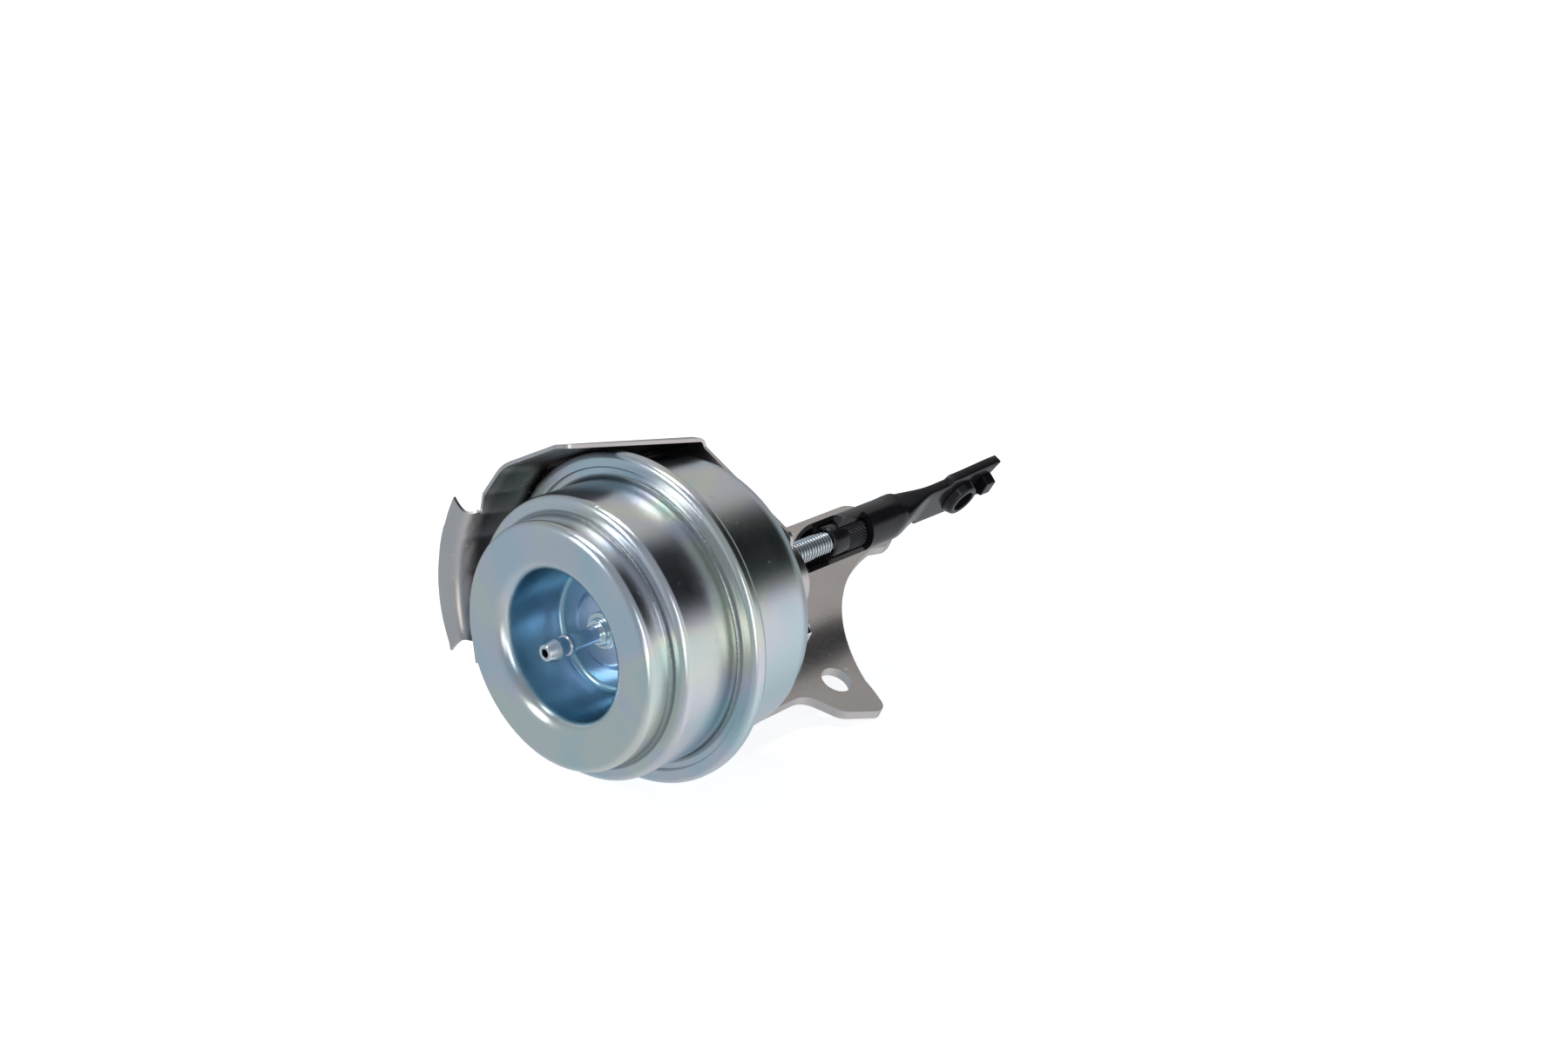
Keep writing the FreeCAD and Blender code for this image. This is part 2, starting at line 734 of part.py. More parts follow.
def make_heat_shield():
    body = new_body("heat_shield")
    thick = size["shield_sheet"]
    front_sketch = new_sketch(body, "wall_front", "YZ_Plane", size["shield_front_x"])
    inside = shield_points(shield_front_apothem)
    outside = shield_points(shield_front_apothem + thick)
    polygon(front_sketch, outside + inside[::-1])
    back_sketch = new_sketch(body, "wall_back", "YZ_Plane", shield_back)
    inside = shield_points(shield_back_apothem - thick)
    outside = shield_points(shield_back_apothem)
    polygon(back_sketch, outside + inside[::-1])
    facets = body.newObject("PartDesign::AdditiveLoft", "wall_facets")
    facets.Profile = front_sketch
    facets.Sections = [(back_sketch, [""])]
    facets.Ruled = True
    document.recompute()

    plate_sketch = new_sketch(body, "plate_outline", "YZ_Plane", shell_back)
    cut = size["shield_cut"]
    cut_low = (-(cut * 0.84), cut * 0.64)
    lower = [(cut * 0.5, -cut * 0.95), (-cut * 0.84, -cut * 0.5)]
    polygon(plate_sketch, outside + lower + [cut_low])
    pad(body, plate_sketch, thick, "back_plate")

    flare_sketch = new_sketch(body, "flare_section", "XZ_Plane", tilt=-FLARE_START)
    root = shield_front_apothem / cosine(ROUND_HALF_FACET) - 0.6
    front = size["shield_front_x"]
    reach = size["flare_reach"]
    tip = shield_front_apothem + size["flare_height"]
    polygon(flare_sketch, [
        (front + thick, root), (front, root), (front - reach, tip), (front - reach + thick, tip)])
    flare = body.newObject("PartDesign::Revolution", "flare")
    flare.Profile = flare_sketch
    flare.ReferenceAxis = (flare_sketch, ["H_Axis"])
    flare.Angle = FLARE_ANGLE
    flare.Reversed = True
    document.recompute()

    holes = new_sketch(body, "plate_holes", "YZ_Plane", shell_back)
    circle(holes, size["bracket_window"])
    angle = size["bracket_tilt"]
    for side in (-1, 1):
        radius = size["stud_circle"] * side
        circle(holes, size["stud_hole"], radius * cosine(angle), radius * sine(angle))
    pocket(body, holes, "plate_hole_cut", thick * 3, both_ways=True)
    return body


def cylinder(name, radius, length, x, y):
    item = document.addObject("Part::Cylinder", name)
    item.Placement = FreeCAD.Placement(
        FreeCAD.Vector(plain(x), plain(y), 0), FreeCAD.Rotation(FreeCAD.Vector(0, 1, 0), 90))
    for prop, quantity in (("Radius", radius), ("Height", length)):
        setattr(item, prop, plain(quantity))
        item.setExpression(prop, as_text(quantity))
    item.setExpression("Placement.Base.x", as_text(x))
    item.setExpression("Placement.Base.y", as_text(y))
    return item


def hexagon(name, flats, length, x, y):
    item = document.addObject("Part::Prism", name)
    item.Polygon = 6
    item.Placement = FreeCAD.Placement(
        FreeCAD.Vector(plain(x), plain(y), 0), FreeCAD.Rotation(FreeCAD.Vector(0, 1, 0), 90))
    across_corners = flats / (cosine(30) * 2)
    for prop, quantity in (("Circumradius", across_corners), ("Height", length)):
        setattr(item, prop, plain(quantity))
        item.setExpression(prop, as_text(quantity))
    item.setExpression("Placement.Base.x", as_text(x))
    item.setExpression("Placement.Base.y", as_text(y))
    return item


def cut(name, base, tool):
    item = document.addObject("Part::Cut", name)
    item.Base = base
    item.Tool = tool
    return item


def group(label, pieces):
    """Two identical fasteners as one sub-part, on the bracket's two stud places."""
    item = document.addObject("Part::Compound", label)
    item.Label = label
    item.Links = pieces
    document.recompute()
    turn_about_rod(item, size["bracket_tilt"])
    PARTS.append(item)
    return item


def make_stud_parts():
    studs = []
    washers = []
    nuts = []
    for number, side in enumerate((-1, 1), start=1):
        y = size["stud_circle"] * side
        head_x = shell_back - wall - size["stud_head"]
        shank_end = nut_back + size["stud_past_nut"]
        fused = document.addObject("Part::MultiFuse", "stud_%d" % number)
        fused.Shapes = [
            cylinder("stud_head_%d" % number, size["stud_head_radius"], size["stud_head"], head_x, y),
            cylinder("stud_shank_%d" % number, size["stud_radius"], shank_end - head_x, head_x, y),
        ]
        studs.append(fused)
        name = "washer_disc_%d" % number
        washer = cylinder(name, size["washer_radius"], size["washer_sheet"], bracket_back, y)
        washer_hole = cylinder("washer_hole_%d" % number, size["stud_radius"] + size["fit_clearance"] * 3,
                               size["washer_sheet"], bracket_back, y)
        washers.append(cut("washer_%d" % number, washer, washer_hole))
        nut = hexagon("nut_hexagon_%d" % number, size["nut_flats"], size["nut_height"], nut_front, y)
        thread = cylinder("nut_thread_%d" % number, size["stud_radius"] + size["fit_clearance"],
                          size["nut_height"], nut_front, y)
        nuts.append(cut("nut_%d" % number, nut, thread))
    group("bracket_studs", studs)
    group("stud_washers", washers)
    group("stud_nuts", nuts)


# ---------------------------------------------------------------------------------------------
# Adjuster and rod end
# ---------------------------------------------------------------------------------------------

def make_adjuster():
    bore = size["rod_radius"] + size["bush_clearance"]
    front = size["adjuster_x"]
    radius = adjuster_radius
    back = front + size["adjuster_length"]
    knurl = front + size["adjuster_collar"]
    chamfer = size["adjuster_wall"] * 0.45
    bore_chamfer = size["adjuster_wall"] * 0.3
    collar_radius = radius - 0.05
    points = [
        (front, bore + bore_chamfer), (front, radius - chamfer), (front + chamfer, collar_radius),
        (knurl, collar_radius), (knurl, radius), (back - chamfer, radius), (back, radius - chamfer),
        (back, bore + bore_chamfer), (back - bore_chamfer, bore), (front + bore_chamfer, bore),
    ]
    return turned_part("adjuster_nut", points)


def stadium(sketch, half_width, half_height):
    """A flat tube's outline: two straight sides joined by two half circles."""
    reach = half_width - half_height
    straight = plain(reach)
    height = plain(half_height)
    axis = FreeCAD.Vector(0, 0, 1)
    quarter = math.pi / 2
    right_circle = Part.Circle(FreeCAD.Vector(straight, 0, 0), axis, height)
    left_circle = Part.Circle(FreeCAD.Vector(-straight, 0, 0), axis, height)
    outline = [
        Part.ArcOfCircle(right_circle, -quarter, quarter),
        Part.LineSegment(FreeCAD.Vector(straight, height, 0), FreeCAD.Vector(-straight, height, 0)),
        Part.ArcOfCircle(left_circle, quarter, 3 * quarter),
        Part.LineSegment(FreeCAD.Vector(-straight, -height, 0), FreeCAD.Vector(straight, -height, 0)),
    ]
    pieces = [sketch.addGeometry(piece, False) for piece in outline]
    for number in range(4):
        following = pieces[(number + 1) % 4]
        sketch.addConstraint(Sketcher.Constraint("Coincident", pieces[number], 2, following, 1))
    for arc, centre_x in ((pieces[0], reach), (pieces[2], -reach)):
        pin_point(sketch, arc, 3, (centre_x, fixed(0)))
        index = sketch.addConstraint(Sketcher.Constraint("Radius", arc, height))
        sketch.setExpression("Constraints[%d]" % index, as_text(half_height))
        for end in (1, 2):
            index = sketch.addConstraint(Sketcher.Constraint("DistanceX", arc, end, plain(centre_x)))
            sketch.setExpression("Constraints[%d]" % index, as_text(centre_x))


def make_rod_end():
    body = new_body("rod_end")
    tube_sketch = new_sketch(body, "tube_profile", "XZ_Plane")
    start = size["tube_x"]
    groove = size["window_x"]
    groove_end = size["window_end_x"]
    ring = groove - size["tube_sheet"]
    bore = size["rod_radius"] + size["adjuster_clearance"]
    end = size["neck_x"]
    polygon(tube_sketch, [
        (start, tube_inner), (ring, tube_inner), (ring, bore), (groove, bore), (groove, tube_inner),
        (groove_end, tube_inner), (groove_end, bore), (end, bore), (end, tube_outer), (start, tube_outer)])
    tube = body.newObject("PartDesign::Revolution", "tube")
    tube.Profile = tube_sketch
    tube.ReferenceAxis = (tube_sketch, ["H_Axis"])
    tube.Angle = 360.0
    document.recompute()

    neck_sketch = new_sketch(body, "neck_section", "YZ_Plane", size["neck_x"] - 1.0)
    stadium(neck_sketch, tube_outer + 0.01, tube_outer - 0.01)
    flat_sketch = new_sketch(body, "flat_section", "YZ_Plane", size["plate_x"])
    stadium(flat_sketch, size["eye_plate_width"] / 2, eye_half)
    flattening = body.newObject("PartDesign::AdditiveLoft", "flattening")
    flattening.Profile = neck_sketch
    flattening.Sections = [(flat_sketch, [""])]
    document.recompute()

    plate_sketch = new_sketch(body, "plate_outline", "XY_Plane", -eye_half)
    narrow = size["eye_plate_width"] / 2
    wide = size["eye_head_width"] / 2
    start = size["plate_x"] - 0.5
    head = size["eye_head_x"]
    end = size["eye_end_x"]
    polygon(plate_sketch, [
        (start, -narrow + eye_half), (start + eye_half, -narrow), (head, -narrow), (head + 2.0, -wide),
        (end, -wide), (end, narrow), (start + eye_half, narrow), (start, narrow - eye_half)])
    plate = pad(body, plate_sketch, size["eye_plate"], "eye_plate")
    ends = upright_edges(plate, [(end, -wide), (end, narrow)], 2)
    fillet(body, plate, ends, fixed(1.5), "eye_plate_corners")

    eye_sketch = new_sketch(body, "eye", "XY_Plane")
    circle(eye_sketch, size["eye_bush_radius"], size["eye_x"])
    pocket(body, eye_sketch, "eye_cut", size["eye_plate"] * 2, both_ways=True)

    slope = new_sketch(body, "tube_end_slope", "XY_Plane", tilt=UPWARD_TURN)
    low = size["tube_x"] - 1.5
    reach = tube_outer + 1.0
    high = low + size["tube_slope"]
    polygon(slope, [(low - 1.0, -reach), (low, -reach), (high, reach), (low - 1.0, reach)])
    pocket(body, slope, "tube_end_cut", reach * 2, both_ways=True)

    # The window over the adjuster and the open trough in front of it are cut flat, in sketches
    # turned so that their own x axis points out of the opening.
    for name, first_x, last_x, offset, turn in (
            ("trough", size["tube_x"] - 1.0, size["window_x"], size["trough_offset"], TROUGH_TURN),
            ("window", size["window_x"] - 0.5, size["window_end_x"], size["window_offset"], WINDOW_TURN)):
        opening = new_sketch(body, name + "_outline", "YZ_Plane", first_x)
        opening.AttachmentOffset = FreeCAD.Placement(
            FreeCAD.Vector(0, 0, plain(first_x)), FreeCAD.Rotation(FreeCAD.Vector(0, 0, 1), turn))
        polygon(opening, [(offset, -reach), (reach, -reach), (reach, reach), (offset, reach)])
        pocket(body, opening, name + "_cut", last_x - first_x, backwards=True)
    turn_about_rod(body, -size["rod_end_turn"])
    return body


# Directions in the rod end's own frame, in degrees from its +Y towards its +Z: out of the
# trough, out of the window, and up.
TROUGH_TURN = 208.0
WINDOW_TURN = 232.5
UPWARD_TURN = 147.0                # the row's +Z, seen from the rod end's own frame


def make_eyelet_bush():
    body = new_body("eyelet_bush")
    sketch = new_sketch(body, "eyelet_profile", "XZ_Plane")
    x = size["eye_x"]
    bore = size["eye_bore"]
    barrel = size["eye_bush_radius"]
    flange = size["eye_boss_radius"]
    low = -eye_half - size["eye_boss"]
    high = eye_half + size["eye_rivet"]
    polygon(sketch, [
        (x + bore, low), (x + flange, low), (x + flange, -eye_half), (x + barrel, -eye_half),
        (x + barrel, eye_half), (x + flange, eye_half), (x + flange, high), (x + bore, high)])
    axis = new_sketch(body, "eyelet_axis", "XZ_Plane")
    segment = Part.LineSegment(FreeCAD.Vector(plain(x), -5, 0), FreeCAD.Vector(plain(x), 5, 0))
    line = axis.addGeometry(segment, False)
    pin_point(axis, line, 1, (x, fixed(-5)))
    pin_point(axis, line, 2, (x, fixed(5)))
    turned = body.newObject("PartDesign::Revolution", "eyelet_turned")
    turned.Profile = sketch
    turned.ReferenceAxis = (axis, ["Edge1"])
    turned.Angle = 360.0
    document.recompute()
    turn_about_rod(body, -size["rod_end_turn"])
    return body


def make_retaining_clip():
    """Bent strip that grips the end of the eye plate and stands up beside the boss."""
    body = new_body("retaining_clip")
    sketch = new_sketch(body, "clip_profile", "XZ_Plane")
    thick = size["clip_sheet"]
    inner_end = size["eye_end_x"] + size["clip_gap"]
    outer_end = inner_end + thick
    inner = eye_half + size["clip_gap"]
    outer = inner + thick
    leaf = inner_end - size["clip_length"]
    hook = -(eye_half + size["eye_boss"] + 0.6)
    polygon(sketch, [
        (leaf, inner), (inner_end, inner), (inner_end, -inner), (leaf, -inner), (leaf, hook),
        (leaf + thick + 2.4, hook), (leaf + thick + 2.4, hook + thick), (leaf + thick, hook + thick),
        (leaf + thick, -outer), (outer_end, -outer), (outer_end, outer), (leaf, outer)])
    pad(body, sketch, size["clip_width"], "clip")
    turn_about_rod(body, -size["rod_end_turn"])
    return body


make_front_cap()
make_back_shell()
make_hose_nipple()
make_diaphragm()
make_piston_cup()
make_backing_plate()
make_bump_stop()
make_spring_seat()
make_return_spring()
make_pull_rod()
make_rivet_washer()
make_guide_bush()
make_bush_retainer()
make_bracket()
make_heat_shield()
make_stud_parts()
make_adjuster()
make_rod_end()
make_eyelet_bush()
make_retaining_clip()

document.recompute()
for item in document.Objects:
    if "Invalid" in item.State or "Error" in item.State:
        raise RuntimeError("not computed: " + item.Name)
for item in PARTS:
    if item.Shape.isNull() or not item.Shape.isValid():
        raise RuntimeError("bad shape: " + item.Label)

os.makedirs("parts", exist_ok=True)
for item in PARTS:
    item.Shape.exportStep(os.path.join("parts", item.Label + ".step"))
    print("%-16s solids %d volume %9.1f" % (item.Label, len(item.Shape.Solids), item.Shape.Volume))
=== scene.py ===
"""Looks for the turbocharger vacuum actuator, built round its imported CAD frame."""

import math

import bmesh
import bpy
from mathutils import Matrix, Vector


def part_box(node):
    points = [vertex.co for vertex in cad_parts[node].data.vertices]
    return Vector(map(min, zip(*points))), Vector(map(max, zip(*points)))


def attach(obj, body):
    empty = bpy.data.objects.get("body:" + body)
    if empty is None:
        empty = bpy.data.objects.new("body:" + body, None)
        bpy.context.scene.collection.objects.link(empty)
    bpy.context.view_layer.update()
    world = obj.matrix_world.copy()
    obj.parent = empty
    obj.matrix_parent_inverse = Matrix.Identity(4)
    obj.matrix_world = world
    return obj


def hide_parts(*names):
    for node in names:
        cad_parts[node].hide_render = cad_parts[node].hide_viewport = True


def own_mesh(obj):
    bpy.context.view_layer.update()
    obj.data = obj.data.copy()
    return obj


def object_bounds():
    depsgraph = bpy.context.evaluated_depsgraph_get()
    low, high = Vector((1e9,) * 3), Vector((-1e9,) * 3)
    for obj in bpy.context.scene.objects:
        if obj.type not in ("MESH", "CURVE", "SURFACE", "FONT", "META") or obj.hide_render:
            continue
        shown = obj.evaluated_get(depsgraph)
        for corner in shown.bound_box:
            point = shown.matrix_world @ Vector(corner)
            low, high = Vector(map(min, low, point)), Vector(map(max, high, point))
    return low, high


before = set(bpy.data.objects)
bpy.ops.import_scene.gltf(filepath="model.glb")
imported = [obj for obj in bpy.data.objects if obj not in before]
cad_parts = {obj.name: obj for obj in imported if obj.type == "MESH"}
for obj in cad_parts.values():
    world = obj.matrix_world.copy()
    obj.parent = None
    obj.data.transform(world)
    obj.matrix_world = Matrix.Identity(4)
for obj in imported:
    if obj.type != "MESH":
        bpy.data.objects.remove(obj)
cad_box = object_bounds()

MM = 0.001
SHIFT = 3.8
TURN = 2 * math.pi

# ---------------------------------------------------------------------------------------------
# Sizes, in millimetres. SHIFT is added to places along x to reach the row frame
# ---------------------------------------------------------------------------------------------

CAP_FRONT = -4.5
POCKET_RADIUS = 17.3
MOUTH_RADIUS = 20.0
CENTRE_HOLE = 10.5
STUD_HOLE = 3.3
STUD_OFFSET = 19.0
EYE_X = 140.0
POCKET_BACK = 13.0
SHIELD_FRONT = 6.5
# Creases as (x, radius, reach): the can gets painted shade there, and a crinkle bump.
CREASES = [(2.4, 28.8, 1.0), (18.6, 33.2, 0.8)]
BRACKET_TILT = math.radians(26.7)

# ---------------------------------------------------------------------------------------------
# Materials
# ---------------------------------------------------------------------------------------------


class Nodes:
    """Short calls for the nodes of one procedural material."""

    def __init__(self, name):
        self.material = bpy.data.materials.new(name)
        self.material.use_nodes = True
        self.tree = self.material.node_tree
        self.tree.nodes.clear()
        self.output = self.tree.nodes.new("ShaderNodeOutputMaterial")
        self.shader = self.tree.nodes.new("ShaderNodeBsdfPrincipled")
        self.link(self.shader.outputs["BSDF"], self.output.inputs["Surface"])
        self.position = self.tree.nodes.new("ShaderNodeTexCoord").outputs["Object"]

    def link(self, source, target):
        self.tree.links.new(source, target)

    def set(self, socket, value):
        if isinstance(value, bpy.types.NodeSocket):
            self.link(value, socket)
        else:
            socket.default_value = value

    def stretched(self, scale):
        """The object position, stretched, so that noise runs along one axis."""
        node = self.tree.nodes.new("ShaderNodeMapping")
        node.inputs["Scale"].default_value = scale
        self.link(self.position, node.inputs["Vector"])
        return node.outputs["Vector"]

    def noise(self, scale, detail=3.0, roughness=0.5, vector=None, distortion=0.0):
        node = self.tree.nodes.new("ShaderNodeTexNoise")
        node.inputs["Scale"].default_value = scale
        node.inputs["Detail"].default_value = detail
        node.inputs["Roughness"].default_value = roughness
        node.inputs["Distortion"].default_value = distortion
        self.link(vector or self.position, node.inputs["Vector"])
        return node.outputs["Fac"]

    def math(self, operation, *values, clamp=False):
        node = self.tree.nodes.new("ShaderNodeMath")
        node.operation = operation
        node.use_clamp = clamp
        for socket, value in zip(node.inputs, values):
            self.set(socket, value)
        return node.outputs["Value"]

    def ramp(self, factor, stops, smooth=False):
        node = self.tree.nodes.new("ShaderNodeValToRGB")
        node.color_ramp.interpolation = "EASE" if smooth else "LINEAR"
        elements = node.color_ramp.elements
        while len(elements) < len(stops):
            elements.new(0.5)
        for element, (place, colour) in zip(elements, stops):
            element.position = place
            element.color = (*colour, 1.0)
        self.link(factor, node.inputs["Fac"])
        return node.outputs["Color"]

    def mix(self, factor, first, second, blend="MIX"):
        node = self.tree.nodes.new("ShaderNodeMix")
        node.data_type = "RGBA"
        node.blend_type = blend
        self.set(node.inputs["Factor"], factor)
        for number, value in ((6, first), (7, second)):
            colour = value if isinstance(value, bpy.types.NodeSocket) else (*value, 1.0)
            self.set(node.inputs[number], colour)
        return node.outputs[2]

    def span(self, factor, low, high):
        """A 0 to 1 factor as a number between low and high."""
        return self.math("MULTIPLY_ADD", factor, high - low, low)

    def bump(self, height, strength, distance=0.0001, normal=None):
        node = self.tree.nodes.new("ShaderNodeBump")
        node.inputs["Strength"].default_value = strength
        node.inputs["Distance"].default_value = distance
        self.link(height, node.inputs["Height"])
        if normal:
            self.link(normal, node.inputs["Normal"])
        return node.outputs["Normal"]

    def radius_and_x(self):
        """Distance from the rod axis and place along it, in metres."""
        node = self.tree.nodes.new("ShaderNodeSeparateXYZ")
        self.link(self.position, node.inputs["Vector"])
        across = self.math("MULTIPLY", node.outputs["Y"], node.outputs["Y"])
        up = self.math("MULTIPLY", node.outputs["Z"], node.outputs["Z"])
        return self.math("SQRT", self.math("ADD", across, up)), node.outputs["X"]

    def fade(self, value, first, last):
        """0 up to first, 1 from last on, and smooth between them."""
        node = self.tree.nodes.new("ShaderNodeMapRange")
        node.interpolation_type = "SMOOTHSTEP"
        node.inputs["From Min"].default_value = first
        node.inputs["From Max"].default_value = last
        self.link(value, node.inputs["Value"])
        return node.outputs["Result"]

    def crease(self, radius, along, x, crease_radius, reach):
        """1 at a circle about the rod axis, fading to 0 at a distance from it."""
        apart = self.math("SUBTRACT", radius, crease_radius)
        ahead = self.math("SUBTRACT", along, x)
        squares = self.math("ADD", self.math("MULTIPLY", apart, apart), self.math("MULTIPLY", ahead, ahead))
        return self.math("SUBTRACT", 1.0, self.fade(self.math("SQRT", squares), reach * 0.4, reach))

    def faces_rod(self):
        """1 where the surface faces the rod axis, 0 where it faces away."""
        sideways = (0.0, 1.0, 1.0)
        flat = []
        for vector in (self.tree.nodes.new("ShaderNodeNewGeometry").outputs["Normal"], self.position):
            node = self.tree.nodes.new("ShaderNodeVectorMath")
            node.operation = "MULTIPLY"
            self.link(vector, node.inputs[0])
            node.inputs[1].default_value = sideways
            flat.append(node.outputs["Vector"])
        dot = self.tree.nodes.new("ShaderNodeVectorMath")
        dot.operation = "DOT_PRODUCT"
        self.link(flat[0], dot.inputs[0])
        self.link(flat[1], dot.inputs[1])
        return self.math("LESS_THAN", dot.outputs["Value"], -0.012)


def zinc_plate(name, tint=(0.66, 0.72, 0.75), low=0.17, high=0.27, grain=0.30, rainbow=0.50, can=True):
    """Bright zinc on pressed steel: bluish silver with a faint rainbow and a fine grain; on the can,
    painted shade and a painted blue reflection in the pocket, and painted shade in the creases.
    """
    n = Nodes(name)
    radius, along = n.radius_and_x()
    drift = n.noise(30.0, 2.0, 0.5, distortion=0.8)
    film = n.ramp(drift, [
        (0.30, (0.50, 0.72, 0.76)), (0.40, (0.58, 0.70, 0.80)), (0.48, (0.74, 0.70, 0.78)),
        (0.56, (0.80, 0.78, 0.66)), (0.66, (0.62, 0.76, 0.70)), (0.74, (0.52, 0.70, 0.80)),
    ], smooth=True)
    colour = n.mix(rainbow, tint, film)
    fine = n.noise(3400.0, 3.0, 0.7)
    cloud = n.noise(160.0, 3.0, 0.6)
    rough = n.math("ADD", n.span(cloud, low, high), n.span(fine, -0.06, 0.06))
    wave = n.noise(220.0, 2.0, 0.5)
    orange_peel = n.bump(wave, 0.10, 0.00010)
    pits = n.ramp(n.noise(520.0, 2.0, 0.5), [(0.735, (0.0, 0.0, 0.0)), (0.765, (1.0, 1.0, 1.0))])
    relief = n.math("SUBTRACT", fine, n.math("MULTIPLY", pits, 1.4))
    if can:
        # Painted shade and painted blue reflection: the pocket walls get a darker, bluer colour by radius
        # and place along the rod.
        pocket_painted_shade = n.ramp(n.math("DIVIDE", radius, POCKET_RADIUS * MM), [
            (0.30, (0.60, 0.66, 0.84)), (0.56, (0.52, 0.60, 0.80)), (0.80, (0.34, 0.52, 0.64)),
            (1.0, (0.40, 0.58, 0.68)),
        ])
        inner = n.math("LESS_THAN", radius, MOUTH_RADIUS * MM)
        ahead = n.math("LESS_THAN", along, (POCKET_BACK + SHIFT) * MM)
        entered = n.fade(along, (CAP_FRONT + SHIFT + 0.6) * MM, (CAP_FRONT + SHIFT + 4.5) * MM)
        in_pocket = n.math("MULTIPLY", n.math("MULTIPLY", inner, ahead), entered)
        colour = n.mix(in_pocket, colour, pocket_painted_shade)
        crinkle = n.noise(1500.0, 3.0, 0.7)
        for crease_x, crease_radius, reach in CREASES:
            near = n.crease(radius, along, (crease_x + SHIFT) * MM, crease_radius * MM, reach * MM)
            # Painted shade: the colour darkens towards each crease; the crinkle below is bump only.
            colour = n.mix(n.math("MULTIPLY", near, 0.7), colour, (0.16, 0.19, 0.20))
            relief = n.math("ADD", relief, n.math("MULTIPLY", n.math("MULTIPLY", near, crinkle), 7.0))
    n.set(n.shader.inputs["Base Color"], colour)
    n.shader.inputs["Metallic"].default_value = 1.0
    n.set(n.shader.inputs["Roughness"], rough)
    n.set(n.shader.inputs["Normal"], n.bump(relief, grain, 0.00006, normal=orange_peel))
    return n.material


def bracket_metal(name, tint, low, high, scratch=0.12, painted_shade_inside=False):
    """Rolled stainless sheet, satin, with short random scratches and small dents; optionally painted shade,
    near black, on the faces turned to the rod behind the tab.
    """
    n = Nodes(name)
    cloud = n.noise(60.0, 4.0, 0.6)
    mottle = n.noise(700.0, 4.0, 0.7)
    pale = tuple(min(1.0, part * 1.14) for part in tint)
    dark = tuple(part * 0.84 for part in tint)
    speck = n.ramp(n.noise(420.0, 3.0, 0.6), [(0.69, (0.0, 0.0, 0.0)), (0.73, (1.0, 1.0, 1.0))])
    colour = n.mix(speck, n.mix(cloud, dark, pale), (0.92, 0.90, 0.88))
    if painted_shade_inside:
        # Painted shade: faces turned to the rod, behind the tab, are darkened towards near black.
        along = n.radius_and_x()[1]
        behind_tab = n.fade(along, (SHIELD_FRONT + SHIFT + 1.2) * MM, (SHIELD_FRONT + SHIFT + 4.0) * MM)
        inside = n.math("MULTIPLY", n.faces_rod(), behind_tab)
        colour = n.mix(n.math("MULTIPLY", inside, 0.55), colour, (0.02, 0.02, 0.021))
    n.set(n.shader.inputs["Base Color"], colour)
    n.shader.inputs["Metallic"].default_value = 1.0
    lines = n.noise(1400.0, 2.0, 0.5, vector=n.stretched((0.10, 1.0, 1.0)))
    rough = n.math("ADD", n.span(cloud, low, high), n.span(mottle, -0.06, 0.06))
    n.set(n.shader.inputs["Roughness"], n.math("ADD", rough, n.math("MULTIPLY", speck, 0.25)))
    relief = n.math("ADD", lines, n.math("MULTIPLY", speck, 0.9))
    n.set(n.shader.inputs["Normal"], n.bump(relief, scratch, 0.00008))
    return n.material


def black_finish(name):
    """Gloss black coating over pressed steel, slightly uneven."""
    n = Nodes(name)
    cloud = n.noise(220.0, 3.0, 0.55)
    n.set(n.shader.inputs["Base Color"], n.mix(cloud, (0.006, 0.006, 0.007), (0.014, 0.013, 0.016)))
    n.set(n.shader.inputs["Roughness"], n.span(cloud, 0.10, 0.24))
    n.shader.inputs["Specular IOR Level"].default_value = 0.42
    peel = n.noise(900.0, 2.0, 0.5)
    wave = n.noise(260.0, 2.0, 0.5)
    n.set(n.shader.inputs["Normal"], n.bump(peel, 0.14, 0.00008, normal=n.bump(wave, 0.18, 0.00012)))
    return n.material


def bright_steel(name, tint=(0.72, 0.74, 0.76), low=0.14, high=0.26, groove=None):
    """Rolled or turned bright steel with fine rings round the rod axis, and painted shade in its grooves.
    """
    n = Nodes(name)
    rings = n.noise(5000.0, 2.0, 0.5, vector=n.stretched((1.0, 0.05, 0.05)))
    cloud = n.noise(400.0, 3.0, 0.6)
    colour = n.mix(cloud, tuple(part * 0.86 for part in tint), tint)
    if groove:
        # Painted shade: the colour darkens towards the thread's root.
        depth = n.fade(n.radius_and_x()[0], groove[0] * MM, groove[1] * MM)
        colour = n.mix(depth, (0.10, 0.12, 0.14), colour)
    n.set(n.shader.inputs["Base Color"], colour)
    n.shader.inputs["Metallic"].default_value = 1.0
    n.set(n.shader.inputs["Roughness"], n.span(cloud, low, high))
    n.set(n.shader.inputs["Normal"], n.bump(rings, 0.06, 0.00004))
    return n.material


def rubber_finish(name):
    n = Nodes(name)
    cloud = n.noise(900.0, 4.0, 0.6)
    n.set(n.shader.inputs["Base Color"], n.mix(cloud, (0.012, 0.012, 0.012), (0.030, 0.029, 0.028)))
    n.set(n.shader.inputs["Roughness"], n.span(cloud, 0.6, 0.8))
    n.set(n.shader.inputs["Normal"], n.bump(cloud, 0.2, 0.0001))
    return n.material


def bush_finish(name):
    n = Nodes(name)
    cloud = n.noise(700.0, 3.0, 0.6)
    n.set(n.shader.inputs["Base Color"], n.mix(cloud, (0.07, 0.065, 0.06), (0.11, 0.10, 0.09)))
    n.set(n.shader.inputs["Roughness"], n.span(cloud, 0.4, 0.6))
    n.set(n.shader.inputs["Normal"], n.bump(cloud, 0.1, 0.0001))
    return n.material


